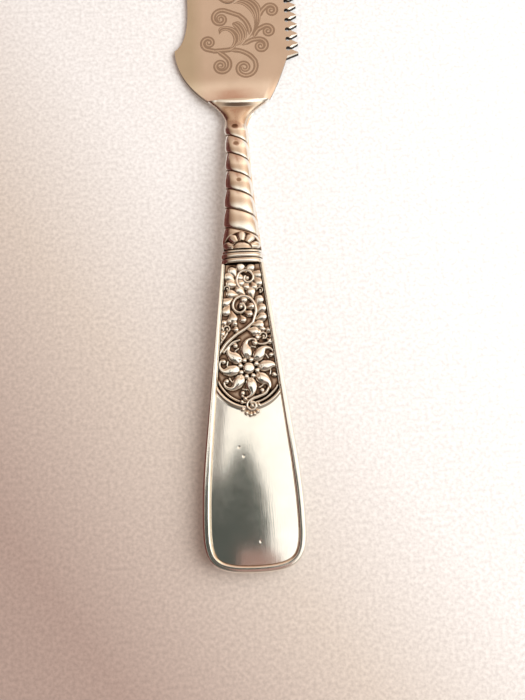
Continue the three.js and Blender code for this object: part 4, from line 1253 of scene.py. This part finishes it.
# Hard filling, seen only when the shells are taken off
CEMENT_DARK, CEMENT_LIGHT = (0.1, 0.06, 0.04), (0.2, 0.13, 0.09)
CEMENT_GRAIN = 900.0
CEMENT_ROUGHNESS = (0.75, 0.95)
CEMENT_BUMP = 0.5
CEMENT_BUMP_HEIGHT = 2e-4


def dress_filling():
    material, tree, shader = new_material("filling_cement")
    place = add_node(tree, "ShaderNodeTexCoord").outputs["Object"]
    grain = noise(tree, place, CEMENT_GRAIN, 6.0)
    color = color_ramp(tree, grain, [(0.3, CEMENT_DARK), (0.7, CEMENT_LIGHT)])
    tree.links.new(color, shader.inputs["Base Color"])
    tree.links.new(stretched(tree, grain, target=CEMENT_ROUGHNESS), shader.inputs["Roughness"])
    add_bump(tree, shader, grain, CEMENT_BUMP, CEMENT_BUMP_HEIGHT)
    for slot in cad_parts["handle_filling"].material_slots:
        slot.material = material


front_shell()
back_shell()
stem_twist()
collar_pieces()
blade_sheet()
blade_engraving()
dress_filling()


# One where a surface is looked at, straight or in metal or glass, and none where it only gives light
def seen_share(tree):
    path = add_node(tree, "ShaderNodeLightPath").outputs
    share = path["Is Camera Ray"]
    for kind in ("Is Glossy Ray", "Is Transmission Ray"):
        share = arithmetic(tree, "MAXIMUM", share, path[kind])
    return share


# Floor
FLOOR_SIZE = 3.0
# Painted shade on the paper: darker toward the bottom left
FLOOR_SHADE_TONES = [(0.1, (0.42, 0.32, 0.275)), (0.35, (0.67, 0.62, 0.555)), (0.55, (0.87, 0.9, 0.9)),
               (0.75, (0.9, 0.95, 0.96))]
FLOOR_SLANT = (1.2, 0.85, 0.0)
FLOOR_SPAN = (-0.205, 0.075)
FLOOR_GRAIN = 1100.0
FLOOR_BUMP = 0.3
FLOOR_BUMP_HEIGHT = 1e-4
FLOOR_ROUGHNESS = 0.9
FLOOR_SHINE = 0.2
PAPER_LOW, PAPER_HIGH = (0.85, 0.845, 0.84), (1.09, 1.09, 1.09)
FLOOR_GLOW = (1.0, 0.965, 0.94)
FLOOR_GLOW_SHARE = 0.06


def floor():
    mesh = bpy.data.meshes.new("floor")
    half = FLOOR_SIZE / 2
    corners = [(-half, -half, 0), (half, -half, 0), (half, half, 0), (-half, half, 0)]
    mesh.from_pydata(corners, [], [[0, 1, 2, 3]])
    material, tree, shader = new_material("paper")
    shader.inputs["Roughness"].default_value = FLOOR_ROUGHNESS
    shader.inputs["Specular IOR Level"].default_value = FLOOR_SHINE
    place = add_node(tree, "ShaderNodeTexCoord").outputs["Object"]
    grain = noise(tree, place, FLOOR_GRAIN, 2.0)
    slant = add_node(tree, "ShaderNodeVectorMath", {"operation": "DOT_PRODUCT"})
    tree.links.new(place, slant.inputs[0])
    slant.inputs[1].default_value = FLOOR_SLANT
    floor_shade = color_ramp(tree, stretched(tree, slant.outputs["Value"], FLOOR_SPAN), FLOOR_SHADE_TONES)
    fibres = color_ramp(tree, grain, [(0.3, PAPER_LOW), (0.7, PAPER_HIGH)])
    tree.links.new(multiplied(tree, floor_shade, fibres), shader.inputs["Base Color"])
    add_bump(tree, shader, grain, FLOOR_BUMP, FLOOR_BUMP_HEIGHT)
    glow = add_node(tree, "ShaderNodeEmission", {"Color": (*FLOOR_GLOW, 1.0)})
    share = arithmetic(tree, "MULTIPLY", seen_share(tree), FLOOR_GLOW_SHARE)
    blend_shaders(tree, share, shader, glow, "Material Output")
    mesh.materials.append(material)
    add_object("floor", mesh)


# Room light: warm beyond the tip, pale overhead, bright on the right and dim on the left
SKY_ALONG = [(0.0, (0.35, 0.29, 0.24)), (0.28, (0.19, 0.15, 0.12)), (0.4, (1.0, 0.95, 0.87)),
             (0.47, (1.25, 1.22, 1.14)), (0.56, (1.12, 1.02, 0.88)), (0.69, (0.65, 0.46, 0.33)),
             (0.76, (0.67, 0.47, 0.34)), (0.8, (0.66, 0.46, 0.33)), (0.86, (1.0, 0.78, 0.6)),
             (0.9, (0.9, 0.68, 0.52)), (0.96, (0.55, 0.34, 0.25))]
SKY_ACROSS = [(0.05, (0.2, 0.14, 0.12)), (0.18, (0.42, 0.35, 0.31)), (0.33, (0.82, 0.78, 0.74)),
              (0.42, (1.0, 1.0, 1.0)), (0.52, (1.0, 1.0, 1.0)), (0.65, (1.35, 1.38, 1.38)),
              (0.78, (1.8, 1.85, 1.85)), (0.92, (1.3, 1.25, 1.2)), (0.99, (0.8, 0.75, 0.7))]
SKY_SPAN = (-1.0, 1.0)
SOFT_LIGHT = (1.0, 0.69, 0.55)
SOFT_STRENGTH = 0.45


def room():
    world = bpy.data.worlds.new("room")
    bpy.context.scene.world = world
    world.use_nodes = True
    tree = world.node_tree
    light = tree.nodes["Background"]
    light.inputs["Color"].default_value = (*SOFT_LIGHT, 1.0)
    light.inputs["Strength"].default_value = SOFT_STRENGTH
    direction = add_node(tree, "ShaderNodeTexCoord").outputs["Generated"]
    axes = add_node(tree, "ShaderNodeSeparateXYZ", Vector=direction).outputs
    along = color_ramp(tree, stretched(tree, axes["Y"], SKY_SPAN), SKY_ALONG)
    across = color_ramp(tree, stretched(tree, axes["X"], SKY_SPAN), SKY_ACROSS)
    sky = add_node(tree, "ShaderNodeBackground", Color=multiplied(tree, along, across))
    blend_shaders(tree, seen_share(tree), light, sky, "World Output")


# Glowing cards round the knife, seen only in the silver, as painted reflections of the room about it and of
# the shadowed floor: [name, color, flat axis, place on it, corners on the others]
X, S, Z = range(3)
OVERHEAD = 224.0
REFLECTION_CARDS = [
    ("flag", (0.085, 0.095, 0.085), Z, OVERHEAD,
     [(-80, -60), (-17, -60), (-17, -6), (11, -6), (12, 9), (10, 14.5), (4, 20.5), (-4, 27), (-12, 28.5),
      (-20, 26), (-27, 21.5), (-80, 20)]),
    ("strip", (0.33, 0.29, 0.27), Z, OVERHEAD, [(-41, 20.5), (-32, 20.5), (-28, 48), (-28, 80), (-41, 80)]),
    ("rosy", (0.4, 0.25, 0.21), Z, OVERHEAD, [(-17, -60), (34, -60), (20, -10), (13, -6.2), (-17, -6.2)]),
    ("side", (0.1, 0.028, 0.024), X, -200.0, [(-60, 4), (330, 4), (330, 120), (100, 165), (-60, 230)]),
    ("blush", (0.5, 0.22, 0.13), S, 325.0, [(-6, 80), (16, 80), (16, 190), (-6, 190)]),
    ("shade", (0.16, 0.055, 0.045), Z, 0.4,
     [(-14, -20), (-10, 117), (-24, 140), (-24, 200), (-200, 200), (-200, -20)]),
]


def reflection_cards():
    for name, color, axis, level, plan in REFLECTION_CARDS:
        mesh = bpy.data.meshes.new(name)
        points = np.insert(np.array(plan, float), axis, level, axis=1)
        mesh.from_pydata(((points + ORIGIN) * MM).tolist(), [], [list(range(len(plan)))])
        material, tree, _ = new_material(name)
        glow = add_node(tree, "ShaderNodeEmission", {"Color": (*color, 1.0)})
        tree.links.new(glow.outputs[0], tree.nodes["Material Output"].inputs["Surface"])
        mesh.materials.append(material)
        card = add_object(name, mesh)
        card.visible_camera = False
        card.visible_shadow = False
        card.visible_diffuse = False


# Lamp on the right, which throws the soft shadows
LAMP_PLACE = np.array([0.38, -0.04, 0.4])
LAMP_AIM = np.array([0.05, -0.05, 0.0])
LAMP_SIZE = 0.65
LAMP_SPREAD = math.radians(110.0)
LAMP_POWER = 1.83


def lamp():
    data = bpy.data.lights.new("lamp", "AREA")
    data.shape = "DISK"
    data.size = LAMP_SIZE
    data.spread = LAMP_SPREAD
    data.energy = LAMP_POWER
    made = add_object("lamp", data)
    made.location = LAMP_PLACE
    toward = (LAMP_AIM - LAMP_PLACE) / np.linalg.norm(LAMP_AIM - LAMP_PLACE)
    made.rotation_euler = (math.acos(-toward[2]), 0.0, math.atan2(-toward[0], toward[1]))
    made.visible_glossy = False


# Camera over the handle, tipped toward the blade
CAMERA_PLACE = (2.14, 16.53, 217.0)
CAMERA_TILT = math.radians(10.0)
CAMERA_ROLL = math.radians(2.829)
LENS = 44.54
SENSOR = 36.0
CLIP_START = 0.01


def camera():
    data = bpy.data.cameras.new("camera")
    data.sensor_width = SENSOR
    data.lens = LENS
    data.clip_start = CLIP_START
    made = add_object("camera", data)
    made.location = (np.array(CAMERA_PLACE) + ORIGIN) * MM
    made.rotation_euler = (CAMERA_TILT, 0.0, -CAMERA_ROLL)
    bpy.context.scene.camera = made


floor()
room()
reflection_cards()
lamp()
camera()
bpy.context.scene.view_settings.view_transform = "Standard"
